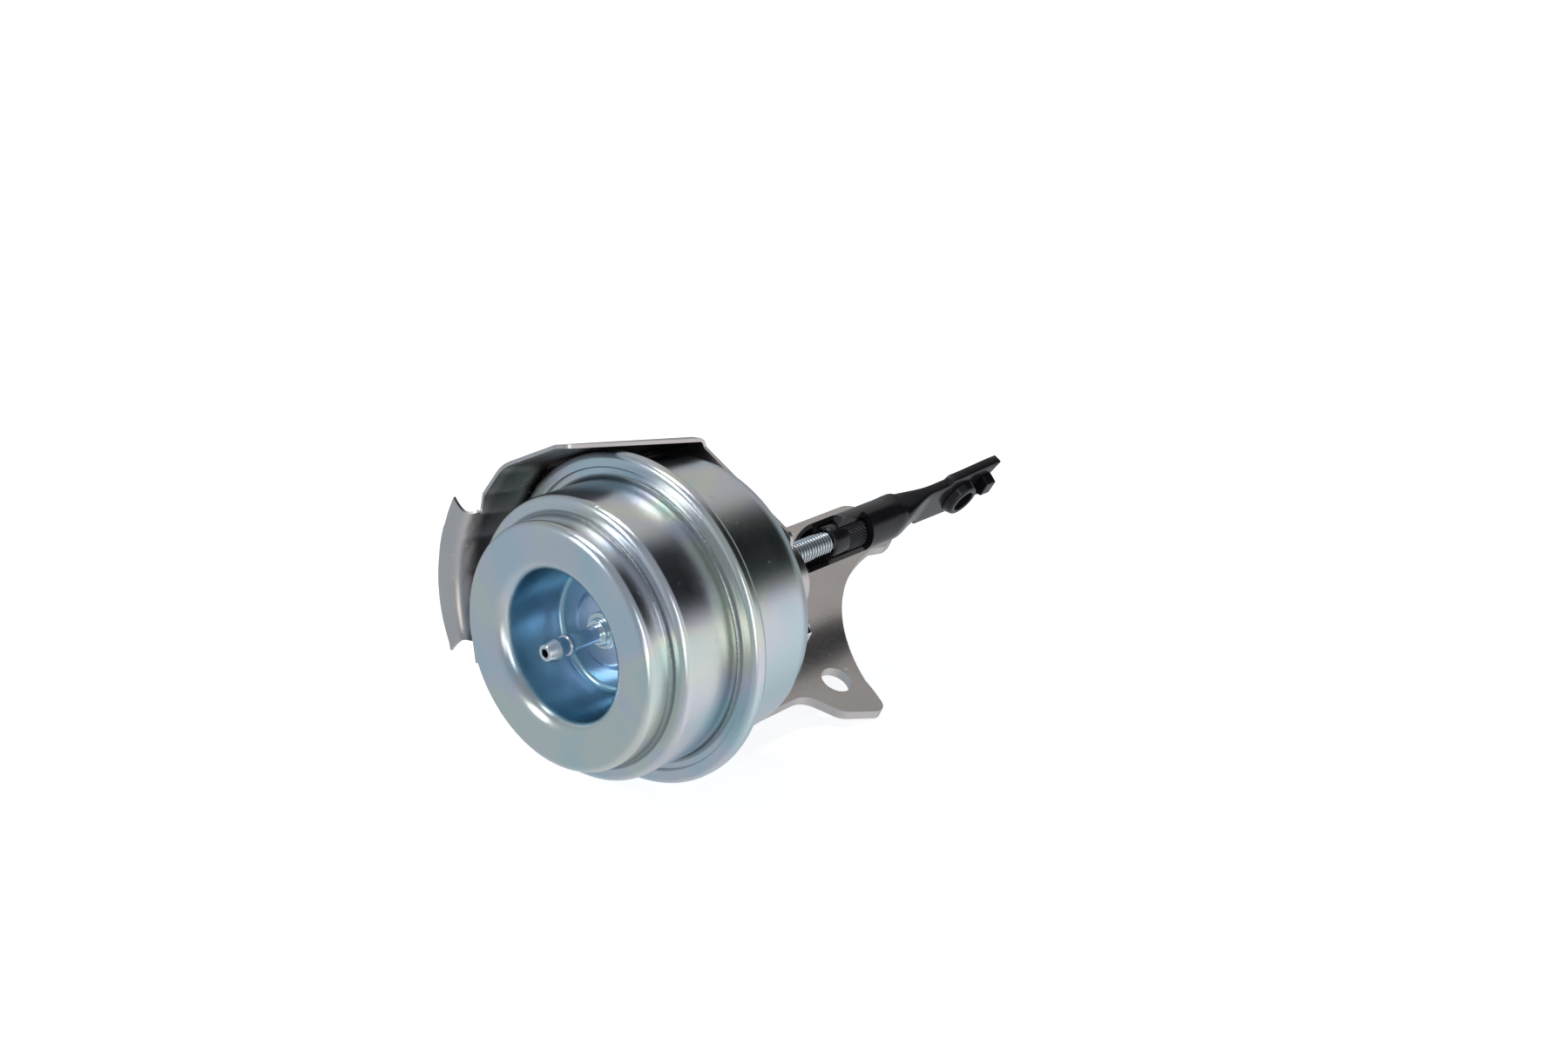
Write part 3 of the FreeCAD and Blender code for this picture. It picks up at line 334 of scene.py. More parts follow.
ZINC = zinc_plate("zinc_can")
ZINC_SMALL = zinc_plate(
    "zinc_small", tint=(0.80, 0.86, 0.90), low=0.10, high=0.22, grain=0.06, rainbow=0.25, can=False)
BRACKET_STEEL = bracket_metal("bracket_steel", (0.64, 0.595, 0.58), 0.18, 0.27, scratch=0.05)
SHIELD_STEEL = bracket_metal("shield_steel", (0.66, 0.61, 0.60), 0.24, 0.36, scratch=0.16, painted_shade_inside=True)
BLACK = black_finish("black_steel")
THREAD = bright_steel("rod_thread", tint=(0.74, 0.79, 0.83), low=0.08, high=0.16, groove=(2.45, 2.85))
SPRING = bright_steel("spring_steel", tint=(0.40, 0.40, 0.41), low=0.25, high=0.4)
RUBBER = rubber_finish("rubber")
PLASTIC = bush_finish("bush_plastic")

# ---------------------------------------------------------------------------------------------
# Mesh helpers
# ---------------------------------------------------------------------------------------------


def add_object(name, mesh, material, body, replaced=()):
    mesh.materials.append(material)
    piece = bpy.data.objects.new(name, mesh)
    bpy.context.scene.collection.objects.link(piece)
    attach(piece, body)
    if replaced:
        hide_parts(*replaced)
    return piece


def smooth(mesh, angle=None):
    for face in mesh.polygons:
        face.use_smooth = True
    if angle is not None:
        mesh.set_sharp_from_angle(angle=math.radians(angle))


def rounded(points, steps=8, closed=True):
    """An outline of (a, b, fillet) corners as plain points, each fillet cut into short steps.

    A support point stands just outside each arc, so that flat stretches shade flat.
    """
    result = []
    count = len(points)
    for number, (a, b, fillet) in enumerate(points):
        here = Vector((a, b))
        inner = closed or 0 < number < count - 1
        if fillet <= 0 or not inner:
            result.append(here)
            continue
        before = Vector(points[number - 1][:2]) - here
        after = Vector(points[(number + 1) % count][:2]) - here
        corner = before.angle(after)
        if corner > math.pi - 0.01:
            result.append(here)
            continue
        reach = min(fillet / math.tan(corner / 2), before.length * 0.48, after.length * 0.48)
        radius = reach * math.tan(corner / 2)
        towards = (before.normalized() + after.normalized()).normalized()
        centre = here + towards * (radius / math.sin(corner / 2))
        first = here + before.normalized() * reach - centre
        sweep = math.pi - corner
        side = 1 if first.cross(here + after.normalized() * reach - centre) > 0 else -1
        support = min(0.12, reach * 0.15)
        result.append(here + before.normalized() * (reach + support))
        for step in range(steps + 1):
            turn = Matrix.Rotation(side * sweep * step / steps, 2)
            result.append(centre + turn @ first)
        result.append(here + after.normalized() * (reach + support))
    return result


def spot(x, radius, angle, work):
    """A vertex at a place along the rod axis, a radius and an angle from straight up towards +Y."""
    return work.verts.new(((x + SHIFT) * MM, radius * math.sin(angle) * MM, radius * math.cos(angle) * MM))


def lathe_mesh(name, outline, segments=160, closed=True):
    """A surface of revolution about X from (x, radius) points in millimetres."""
    mesh = bpy.data.meshes.new(name)
    work = bmesh.new()
    rings = []
    for x, radius in outline:
        if radius < 1e-6:
            rings.append([work.verts.new(((x + SHIFT) * MM, 0, 0))] * segments)
            continue
        ring = []
        for number in range(segments):
            angle = TURN * number / segments
            ring.append(spot(x, radius, angle, work))
        rings.append(ring)
    count = len(rings)
    for number in range(count if closed else count - 1):
        first, second = rings[number], rings[(number + 1) % count]
        for place in range(segments):
            following = (place + 1) % segments
            corners = [first[place], first[following], second[following], second[place]]
            unique = list(dict.fromkeys(corners))
            if len(unique) >= 3:
                work.faces.new(unique)
    bmesh.ops.recalc_face_normals(work, faces=work.faces)
    work.to_mesh(mesh)
    work.free()
    smooth(mesh)
    return mesh


def lathe(name, points, material, body, replaced=(), segments=160, steps=8, closed=True):
    mesh = lathe_mesh(name, rounded(points, steps, closed), segments, closed)
    return add_object(name, mesh, material, body, replaced)


def finish_node(name, material, bevel=None, segments=3):
    """Give a kept CAD node its material, welded and with its sharp edges broken."""
    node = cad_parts[name]
    node.data.materials.clear()
    node.data.materials.append(material)
    for face in node.data.polygons:
        face.material_index = 0
    if bevel:
        weld = node.modifiers.new("weld", "WELD")
        weld.merge_threshold = 1e-6
        edge = node.modifiers.new("broken_edges", "BEVEL")
        edge.width = bevel * MM
        edge.segments = segments
        edge.limit_method = "ANGLE"
        edge.angle_limit = math.radians(35)
        edge.harden_normals = True
    return node


# ---------------------------------------------------------------------------------------------
# Canister
# ---------------------------------------------------------------------------------------------

CAP = [
    (10.5, 2.05, 0.2), (10.5, 8.2, 0.9), (11.7, 9.6, 0.8), (11.7, 14.6, 1.5), (-4.5, 17.6, 4.2),
    (-4.5, 28.4, 2.2), (2.5, 28.4, 0.7), (2.5, 32.6, 1.9), (19.0, 32.6, 0.9), (19.0, 37.3, 0.2),
    (20.0, 37.3, 0.2), (20.0, 31.6, 1.6), (3.5, 31.6, 0.9), (3.5, 27.4, 1.4), (-3.5, 27.4, 1.2),
    (-3.5, 18.6, 3.2), (12.7, 15.6, 2.2), (12.7, 9.6, 0.8), (11.5, 8.2, 0.9), (11.5, 2.05, 0.2),
]
SHELL = [
    (45.5, 5.05, 0.2), (45.5, 32.6, 6.5), (22.0, 34.0, 0.9), (22.0, 38.5, 1.6), (18.0, 38.5, 1.6),
    (18.0, 35.0, 0.45), (19.0, 35.0, 0.3), (19.0, 37.5, 0.6), (21.0, 37.5, 0.6), (21.0, 33.0, 1.2),
    (44.5, 31.6, 5.5), (44.5, 5.05, 0.2),
]
NIPPLE = [
    (-7.2, 1.0, 0.1), (-7.2, 1.8, 0.35), (-4.3, 2.7, 0.5), (-3.8, 2.7, 0.3), (-3.7, 2.0, 0.2),
    (-1.2, 2.0, 0.2), (-1.2, 2.4, 0.3), (0.0, 2.4, 0.3), (0.0, 2.0, 0.15), (8.2, 2.0, 0.2),
    (8.2, 3.1, 0.3), (9.6, 3.1, 0.3), (9.6, 4.4, 0.35), (10.5, 4.4, 0.1), (10.5, 2.0, 0.1),
    (12.5, 2.0, 0.2), (12.5, 1.0, 0.1),
]
lathe("front_cap_skin", CAP, ZINC, "housing", ["front_cap"], segments=256, steps=12)
lathe("back_shell_skin", SHELL, ZINC, "housing", ["back_shell"], segments=256, steps=12)
lathe("hose_nipple_skin", NIPPLE, ZINC_SMALL, "housing", ["hose_nipple"], segments=96)

# ---------------------------------------------------------------------------------------------
# Pull rod with its thread, and the knurled adjuster
# ---------------------------------------------------------------------------------------------

THREAD_START = 55.0
THREAD_END = 105.0
PITCH = 1.0
CREST = 2.95
ROOT = 2.38


def thread_radius(x, angle):
    """Radius of a right-hand ISO thread with a flat crest and a rounded root."""
    phase = (x / PITCH - angle / TURN) % 1.0
    away = abs(phase - 0.5) * 2.0
    height = min(1.0, max(0.0, (0.88 - away) / 0.74))
    height = height * height * (3 - 2 * height) * 0.35 + height * 0.65
    entry = min(1.0, max(0.0, (x - THREAD_START) / 1.2))
    exit_chamfer = max(0.0, (x - (THREAD_END - 0.9)) / 0.9)
    depth = (CREST - ROOT) * (1 - height) * entry
    return max(CREST - depth - exit_chamfer * 0.8, 1.9)


def pull_rod():
    mesh = bpy.data.meshes.new("pull_rod_skin")
    work = bmesh.new()
    plain = [(36.8, 0.0), (36.8, 4.4), (37.0, 4.6), (37.9, 4.6), (38.0, 4.5), (38.0, CREST), (42.2, CREST),
             (42.2, 5.4), (42.3, 5.5), (43.5, 5.5), (43.6, 5.4), (43.6, CREST), (50.0, CREST)]
    segments = 48
    rows = []
    for x, radius in plain:
        rows.append([(x, radius)] * segments)
    per_pitch = 12
    steps = int((THREAD_END - THREAD_START) / PITCH * per_pitch)
    for step in range(steps + 1):
        x = THREAD_START + step * PITCH / per_pitch
        rows.append([(x, thread_radius(x, TURN * place / segments)) for place in range(segments)])
    rows.append([(THREAD_END, 0.0)] * segments)
    rings = []
    for row in rows:
        if row[0][1] == 0.0:
            rings.append([work.verts.new(((row[0][0] + SHIFT) * MM, 0, 0))] * segments)
            continue
        ring = []
        for place, (x, radius) in enumerate(row):
            angle = TURN * place / segments
            ring.append(spot(x, radius, angle, work))
        rings.append(ring)
    for first, second in zip(rings, rings[1:]):
        for place in range(segments):
            following = (place + 1) % segments
            unique = list(dict.fromkeys([first[place], first[following], second[following], second[place]]))
            if len(unique) >= 3:
                work.faces.new(unique)
    bmesh.ops.recalc_face_normals(work, faces=work.faces)
    work.to_mesh(mesh)
    work.free()
    smooth(mesh, 50)
    return add_object("pull_rod_skin", mesh, THREAD, "rod", ["pull_rod"])


pull_rod()

KNURL_TEETH = 28
KNURL_DEPTH = 0.30
KNURL_RADIUS = 4.2


def saw(phase):
    """A triangle wave from 0 to 1."""
    return abs((phase % 1.0) * 2.0 - 1.0)


def adjuster():
    mesh = bpy.data.meshes.new("adjuster_skin")
    work = bmesh.new()
    segments = KNURL_TEETH * 6
    front, back, knurl = 86.2, 99.0, 92.0
    rows = [(front, 3.45), (front, 3.7), (front + 0.15, 3.85), (front + 0.5, 4.12), (front + 0.7, 4.15)]
    rows += [(knurl - 0.3, 4.15), (knurl - 0.15, 4.1), (knurl, 4.0)]
    pitch = TURN * KNURL_RADIUS / KNURL_TEETH
    rolled = []
    steps = int((back - 0.5 - knurl) / (pitch / 6))
    for step in range(1, steps + 1):
        rolled.append(knurl + step * pitch / 6)
    rings = []

    def ring(x, radius_at):
        verts = []
        for place in range(segments):
            angle = TURN * place / segments
            radius = radius_at(angle)
            verts.append(spot(x, radius, angle, work))
        rings.append(verts)

    def knurled(x):
        def radius_at(angle):
            around = angle / TURN * KNURL_TEETH
            along = (x - knurl) / pitch * 0.75
            groove = min(saw(around + along), saw(around - along))
            cut = 1.0 - min(1.0, groove / 0.45)
            return KNURL_RADIUS - KNURL_DEPTH * cut
        return radius_at

    for x, radius in rows:
        ring(x, lambda angle, radius=radius: radius)
    for x in rolled:
        ring(x, knurled(x))
    end_rows = [(back - 0.45, 4.0), (back, 3.6), (back, 3.45), (back - 0.4, 3.03), (front + 0.4, 3.03)]
    for x, radius in end_rows:
        ring(x, lambda angle, radius=radius: radius)
    count = len(rings)
    for number in range(count):
        first, second = rings[number], rings[(number + 1) % count]
        for place in range(segments):
            following = (place + 1) % segments
            work.faces.new([first[place], first[following], second[following], second[place]])
    bmesh.ops.recalc_face_normals(work, faces=work.faces)
    work.to_mesh(mesh)
    work.free()
    smooth(mesh, 40)
    return add_object("adjuster_skin", mesh, BLACK, "adjuster", ["adjuster_nut"])


adjuster()

# ---------------------------------------------------------------------------------------------
# Bracket: one sheet, drawn flat, bent and given its thickness
# ---------------------------------------------------------------------------------------------


def circle_points(a, b, radius, count):
    return [Vector((a + radius * math.cos(TURN * k / count), b + radius * math.sin(TURN * k / count)))
            for k in range(count)]


def arc_points(a, b, radius, first, last, count):
    """Points on an arc from one angle to another, in degrees."""
    result = []
    for step in range(count + 1):
        angle = math.radians(first + (last - first) * step / count)
        result.append((a + radius * math.cos(angle), b + radius * math.sin(angle), 0.0))
    return result


def filled_outline(work, loops):
    """A flat sheet from an outer loop and the loops of its holes."""
    edges = []
    for loop in loops:
        verts = [work.verts.new((a, b, 0)) for a, b in loop]
        edges += [work.edges.new((verts[k], verts[(k + 1) % len(verts)])) for k in range(len(verts))]
    bmesh.ops.triangle_fill(work, use_beauty=True, use_dissolve=False, edges=edges)


def sheet_modifiers(piece, thickness, edge_radius, offset, segments=3):
    solid = piece.modifiers.new("thickness", "SOLIDIFY")
    solid.thickness = thickness * MM
    solid.offset = offset
    solid.use_even_offset = True
    rounding = piece.modifiers.new("edges", "BEVEL")
    rounding.width = edge_radius * MM
    rounding.segments = segments
    rounding.limit_method = "ANGLE"
    rounding.angle_limit = math.radians(50)
    rounding.harden_normals = True


BEND_RADIUS = 3.0
FLANGE_X = 48.9
LEG_N = -22.0
BEND_START_N = LEG_N + BEND_RADIUS
BEND_LENGTH = BEND_RADIUS * math.pi / 2


def bracket():
    """Drawn flat as (distance along the sheet from the bend, distance across it)."""
    leg = BEND_LENGTH - FLANGE_X - BEND_RADIUS
    outline = [
        (-42.0, 24.0, 6.0), (-42.0, -21.8, 9.5), (-6.0, -24.0, 4.0), (0.0, -24.0, 0.0),
        (leg + 65.8, -23.8, 6.0), (leg + 71.0, -32.8, 6.0), (leg + 82.6, -37.9, 3.6),
        (leg + 84.5, -31.0, 4.0),
    ]
    outline += [(leg + a, b, c) for a, b, c in arc_points(136.5, -46.2, 54.7, 160.0, 100.5, 30)]
    outline += [(leg + 131.4, 6.5, 4.0), (leg + 137.4, 8.0, 4.5), (leg + 137.4, 24.0, 6.0)]
    outline.append((0.0, 24.0, 0.0))
    loops = [rounded(outline, 6)]
    loops.append(circle_points(BEND_START_N, 0.0, CENTRE_HOLE, 48))
    for side in (-STUD_OFFSET, STUD_OFFSET):
        loops.append(circle_points(BEND_START_N, side, STUD_HOLE, 32))
    loops.append(circle_points(leg + 77.9, -23.9, 4.0, 40))
    loops.append(circle_points(leg + 127.0, 15.5, 4.0, 40))
    work = bmesh.new()
    filled_outline(work, loops)
    for step in range(9):
        everything = work.verts[:] + work.edges[:] + work.faces[:]
        place = Vector((BEND_LENGTH * step / 8, 0, 0))
        bmesh.ops.bisect_plane(work, geom=everything, dist=1e-5, plane_co=place, plane_no=Vector((1, 0, 0)))
    cosine, sine = math.cos(BRACKET_TILT), math.sin(BRACKET_TILT)
    for vert in work.verts:
        along, across = vert.co.x, vert.co.y
        if along <= 0:
            x, up = FLANGE_X, BEND_START_N - along
        elif along < BEND_LENGTH:
            turn = along / BEND_RADIUS
            x = FLANGE_X + BEND_RADIUS * (1 - math.cos(turn))
            up = BEND_START_N - BEND_RADIUS * math.sin(turn)
        else:
            x, up = FLANGE_X + BEND_RADIUS + along - BEND_LENGTH, LEG_N
        y, z = across * cosine - up * sine, across * sine + up * cosine
        vert.co = Vector(((x + SHIFT) * MM, y * MM, z * MM))
    bmesh.ops.recalc_face_normals(work, faces=work.faces)
    leg_faces = [face for face in work.faces if face.calc_center_median().x > (70 + SHIFT) * MM]
    if leg_faces[0].normal.z < 0:
        bmesh.ops.reverse_faces(work, faces=work.faces)
    mesh = bpy.data.meshes.new("bracket_skin")
    work.to_mesh(mesh)
    work.free()
    smooth(mesh, 35)
    piece = add_object("bracket_skin", mesh, BRACKET_STEEL, "housing", ["bracket"])
    sheet_modifiers(piece, 2.5, 0.55, -1.0)


bracket()

# ---------------------------------------------------------------------------------------------
# Heat shield: wall, back plate and flared tab in one sheet
# ---------------------------------------------------------------------------------------------

SHIELD_X = 45.6
SHIELD_CORNER = 3.2
TAB_FIRST, TAB_LAST = 60.0, 107.5


def polar(angle, radius, fillet=0.0):
    """A (y, z, fillet) corner from an angle, from straight up towards +Y, and a radius."""
    return radius * math.sin(math.radians(angle)), radius * math.cos(math.radians(angle)), fillet


def shield_wall(first_angle, bulge, radius):
    corners = [polar(first_angle + extra, radius * bulge) for extra in (0.0, 0.6, 1.3, 2.2, 3.2, 4.4)]
    corners.append(polar(38.5, radius * 1.015, 12.0))
    corners += [polar(angle, radius * 0.994, 9.0) for angle in (52.0, 62.0)]
    corners += [polar(angle, radius * 1.002, 8.0) for angle in (72.0, 84.0, 96.0, 107.0)]
    corners.append(polar(114.0, radius))
    return rounded(corners, 5, closed=False)


def heat_shield():
    front = shield_wall(8.0, 1.008, 41.6)
    back = shield_wall(3.0, 1.0, 35.3)
    angles = [math.degrees(math.atan2(point.x, point.y)) for point in front]
    work = bmesh.new()
    rows = []
    steps = 12
    bend = 1.6

    def row(maker):
        rows.append([work.verts.new(maker(k)) for k in range(len(front))])

    def wall_point(k, share, start):
        x = start + (SHIELD_X - bend - start) * share
        fraction = (x - SHIELD_FRONT) / (SHIELD_X - bend - SHIELD_FRONT)
        point = front[k].lerp(back[k], fraction)
        return Vector(((x + SHIFT) * MM, point.x * MM, point.y * MM))

    def start_of(k):
        inside = min(angles[k] - TAB_FIRST, TAB_LAST - angles[k])
        from_side = max(0.0, SHIELD_CORNER - math.radians(angles[k] - angles[0]) * front[k].length)
        rounding = SHIELD_CORNER - math.sqrt(SHIELD_CORNER ** 2 - from_side ** 2)
        return SHIELD_FRONT + rounding + 1.6 * min(1.0, max(0.0, (inside + 2.0) / 3.0))

    for step in range(steps + 1):
        row(lambda k, share=step / steps: wall_point(k, share, start_of(k)))
    for step in range(1, 6):
        turn = math.pi / 2 * step / 5
        x = SHIELD_X - bend + bend * math.sin(turn)
        inward = bend * (1 - math.cos(turn))
        row(lambda k, x=x, inward=inward: Vector((
            (x + SHIFT) * MM, *(back[k] * (1 - inward / back[k].length) * MM))))
    for first, second in zip(rows, rows[1:]):
        for k in range(len(front) - 1):
            work.faces.new((first[k], first[k + 1], second[k + 1], second[k]))

    tab = [k for k in range(len(front)) if TAB_FIRST <= angles[k] <= TAB_LAST]
    curl, sweep, flat = 3.8, math.radians(72), 2.9
    previous = [rows[0][k] for k in tab]
    profile = [(curl * math.sin(sweep * j / 6), curl * (1 - math.cos(sweep * j / 6))) for j in range(1, 7)]
    end = profile[-1]
    for j in (1, 2, 3):
        profile.append((end[0] + flat * math.cos(sweep) * j / 3, end[1] + flat * math.sin(sweep) * j / 3))
    for number, (forward, out) in enumerate(profile, start=1):
        share = number / len(profile)
        first_angle = TAB_FIRST + 3.2 * math.sin(math.pi * share * 0.8) - 2.6 * share
        last_angle = TAB_LAST - 2.2 * math.sin(math.pi * share) + 0.6 * share
        current = []
        for place, k in enumerate(tab):
            along = place / (len(tab) - 1)
            angle = math.radians(first_angle + (last_angle - first_angle) * along)
            droop = 1.6 * max(0.0, along - 0.55) ** 2 * 4 * share
            radius = front[k].length + out - droop
            x = start_of(k) - forward
            current.append(work.verts.new((
                (x + SHIFT) * MM, radius * math.sin(angle) * MM, radius * math.cos(angle) * MM)))
        for place in range(len(tab) - 1):
            work.faces.new((previous[place], previous[place + 1], current[place + 1], current[place]))
        previous = current

    rim = rows[-1]
    lower = [polar(114.0, 24.0), polar(152.0, 27.5, 5.0), (-24.0, -14.0, 4.0), (-24.2, 18.4, 2.0)]
    start = rim[0].co
    corners = [(rim[-1].co.y / MM, rim[-1].co.z / MM, 0.0)]
    corners += [tuple(c) if len(c) == 3 else (*c, 0.0) for c in lower]
    corners.append((start.y / MM, start.z / MM, 0.0))
    path = rounded(corners, 5, closed=False)
    plate_x = rim[0].co.x
    loop = list(rim) + [work.verts.new((plate_x, a * MM, b * MM)) for a, b in path[1:-1]]
    edges = []
    for k in range(len(loop)):
        pair = (loop[k], loop[(k + 1) % len(loop)])
        edges.append(work.edges.get(pair) or work.edges.new(pair))
    cosine, sine = math.cos(BRACKET_TILT), math.sin(BRACKET_TILT)
    holes = [(0.0, 0.0, CENTRE_HOLE)]
    holes += [(side * cosine, side * sine, STUD_HOLE) for side in (-STUD_OFFSET, STUD_OFFSET)]
    for a, b, radius in holes:
        verts = [work.verts.new((plate_x, y * MM, z * MM)) for y, z in circle_points(a, b, radius, 40)]
        edges += [work.edges.new((verts[k], verts[(k + 1) % len(verts)])) for k in range(len(verts))]
    bmesh.ops.triangle_fill(
        work, use_beauty=True, use_dissolve=False, edges=edges, normal=Vector((1, 0, 0)))
    bmesh.ops.recalc_face_normals(work, faces=work.faces)
    work.faces.ensure_lookup_table()
    middle = work.faces[0]
    if middle.normal.dot(Vector((0, middle.calc_center_median().y, middle.calc_center_median().z))) < 0:
        bmesh.ops.reverse_faces(work, faces=work.faces)
    mesh = bpy.data.meshes.new("heat_shield_skin")
    work.to_mesh(mesh)
    work.free()
    smooth(mesh, 40)
    piece = add_object("heat_shield_skin", mesh, SHIELD_STEEL, "housing", ["heat_shield"])
    sheet_modifiers(piece, 0.9, 0.16, 1.0, segments=2)


heat_shield()

# ---------------------------------------------------------------------------------------------
# Rod end: a pressed tube that flattens into the eye plate
# ---------------------------------------------------------------------------------------------

ACROSS = Vector((0.0, math.sin(math.radians(-33.0)), math.cos(math.radians(-33.0))))
EYE_AXIS = Vector((0.0, -math.sin(math.radians(57.0)), -math.cos(math.radians(57.0))))


def ease(value):
    value = min(1.0, max(0.0, value))
    return value * value * (3 - 2 * value)


def between(x, stops):
    """A smooth value through (x, value) stops."""
    for (first_x, first), (last_x, last) in zip(stops, stops[1:]):
        if x <= last_x:
            return first + (last - first) * ease((x - first_x) / (last_x - first_x))
    return stops[-1][1]


UPPER_EDGE = [
    (70.0, 5.75), (112.8, 5.9), (113.6, 4.7), (127.0, 5.8), (132.8, 6.0), (133.8, 7.4), (153.0, 8.5)]
LOWER_EDGE = [(70.0, 5.5), (106.0, 5.5), (124.5, 4.5), (125.8, 6.3), (153.0, 6.4)]
BURRS = [(112.9, 0.5), (133.3, 0.5), (91.6, 0.35)]


def rod_end_section(x, angle):
    """A point of the outer surface, as millimetres in the row frame without the x shift."""
    flat = ease((x - 108.0) / 18.5)
    power = 2.0 + 7.0 * flat
    cosine, sine = math.cos(angle), math.sin(angle)
    edge = between(x, UPPER_EDGE if cosine > 0 else LOWER_EDGE)
    for burr_x, height in BURRS:
        edge += height * math.exp(-((x - burr_x) / 0.4) ** 2) * max(0.0, cosine) ** 6
    across = edge * math.copysign(abs(cosine) ** (2 / power), cosine)
    along = (5.5 - 4.0 * flat) * math.copysign(abs(sine) ** (2 / power), sine)
    return ACROSS * across + EYE_AXIS * along


def rod_end():
    work = bmesh.new()
    segments = 72
    places = [78.0 + k * 0.5 for k in range(149)] + [152.5, 152.8, 153.0]
    rings = []
    for x in places:
        ring = []
        tail = max(0.0, x - 145.0) / 8.0
        for k in range(segments):
            point = rod_end_section(x, TURN * k / segments)
            lift = (point.z / 5.7 + 1) / 2
            slant = 7.0 * lift * max(0.0, 1 - (x - 78.0) / 14.0)
            side = point.dot(ACROSS)
            cut_back = 7.2 * tail * min(1.0, max(0.0, (8.2 - side) / 15.0)) ** 0.7
            ring.append(work.verts.new(((x + slant - cut_back + SHIFT) * MM, point.y * MM, point.z * MM)))
        rings.append(ring)
    for first, second in zip(rings, rings[1:]):
        for k in range(segments):
            following = (k + 1) % segments
            work.faces.new((first[k], first[following], second[following], second[k]))
    work.faces.new(rings[0])
    work.faces.new(rings[-1])
    bmesh.ops.recalc_face_normals(work, faces=work.faces)
    mesh = bpy.data.meshes.new("rod_end_skin")
    work.to_mesh(mesh)
    work.free()
    smooth(mesh, 40)
    piece = add_object("rod_end_skin", mesh, BLACK, "rod_end", ["rod_end"])

    cutters = [bore_cutter(70.0, 85.0, 4.45), bore_cutter(84.9, 86.1, 3.2), bore_cutter(86.0, 99.2, 4.45),
               bore_cutter(99.1, 110.0, 3.2), eye_cutter()]
    trough = [(72.0, -9.0), (85.9, -9.0), (85.9, -1.0), (91.8, 5.0), (91.8, 9.0), (72.0, 9.0)]
    window = [(85.0, -9.0), (99.2, -9.0), (99.2, 9.0), (85.0, 9.0)]
    cutters.append(slab_cutter(trough, -61.0, 0.6))
    cutters.append(slab_cutter(window, -85.5, 2.6))
    for number, cutter in enumerate(cutters):
        cut = piece.modifiers.new("cut_%d" % number, "BOOLEAN")
        cut.operation = "DIFFERENCE"
        cut.solver = "EXACT"
        cut.object = cutter
    apply_modifiers(piece, cutters)
    edge = piece.modifiers.new("edges", "BEVEL")
    edge.width = 0.22 * MM
    edge.segments = 2
    edge.limit_method = "ANGLE"
    edge.angle_limit = math.radians(48)
    edge.harden_normals = True


def loose_object(name, mesh):
    piece = bpy.data.objects.new(name, mesh)
    bpy.context.scene.collection.objects.link(piece)
    return piece


def apply_modifiers(piece, helpers):
    """Bake the piece's modifiers into its mesh and remove the helper objects."""
    bpy.context.view_layer.update()
    evaluated = piece.evaluated_get(bpy.context.evaluated_depsgraph_get())
    mesh = bpy.data.meshes.new_from_object(evaluated)
    old = piece.data
    piece.modifiers.clear()
    piece.data = mesh
    bpy.data.meshes.remove(old)
    for helper in helpers:
        data = helper.data
        bpy.data.objects.remove(helper)
        bpy.data.meshes.remove(data)
    smooth(mesh, 40)


def bore_cutter(first, last, radius):
    points = [(first, 0.0), (first, radius), (last, radius), (last, 0.0)]
    return loose_object("bore_cutter", lathe_mesh("bore_cutter", points, 64, closed=False))


def prism(name, corners, low, high, origin, first_axis, second_axis, out):
    """A prism on (first, second) corners, from low to high along out, all in millimetres."""
    work = bmesh.new()
    faces = []
    for level in (low, high):
        verts = []
        for a, b in corners:
            point = origin + first_axis * a + second_axis * b + out * level
            verts.append(work.verts.new((point + Vector((SHIFT, 0, 0))) * MM))
        faces.append(verts)
    work.faces.new(faces[0])
    work.faces.new(faces[1])
    count = len(corners)
    for k in range(count):
        following = (k + 1) % count
        work.faces.new((faces[0][k], faces[0][following], faces[1][following], faces[1][k]))
    bmesh.ops.recalc_face_normals(work, faces=work.faces)
    mesh = bpy.data.meshes.new(name)
    work.to_mesh(mesh)
    work.free()
    return mesh


def slab_cutter(corners, direction, offset):
    """Cuts away what lies beyond a plane parallel to the rod, on (x, sideways) corners."""
    angle = math.radians(direction)
    out = Vector((0.0, math.sin(angle), math.cos(angle)))
    sideways = Vector((0.0, -math.cos(angle), math.sin(angle))) * -1
    mesh = prism("slab_cutter", corners, offset, 12.0, Vector(), Vector((1, 0, 0)), sideways, out)
    return loose_object("slab_cutter", mesh)


def eye_cutter():
    corners = [(p.x, p.y) for p in circle_points(EYE_X, 0.0, 4.15, 64)]
    mesh = prism("eye_cutter", corners, -4.0, 4.0, Vector(), Vector((1, 0, 0)), ACROSS, EYE_AXIS)
    return loose_object("eye_cutter", mesh)


rod_end()


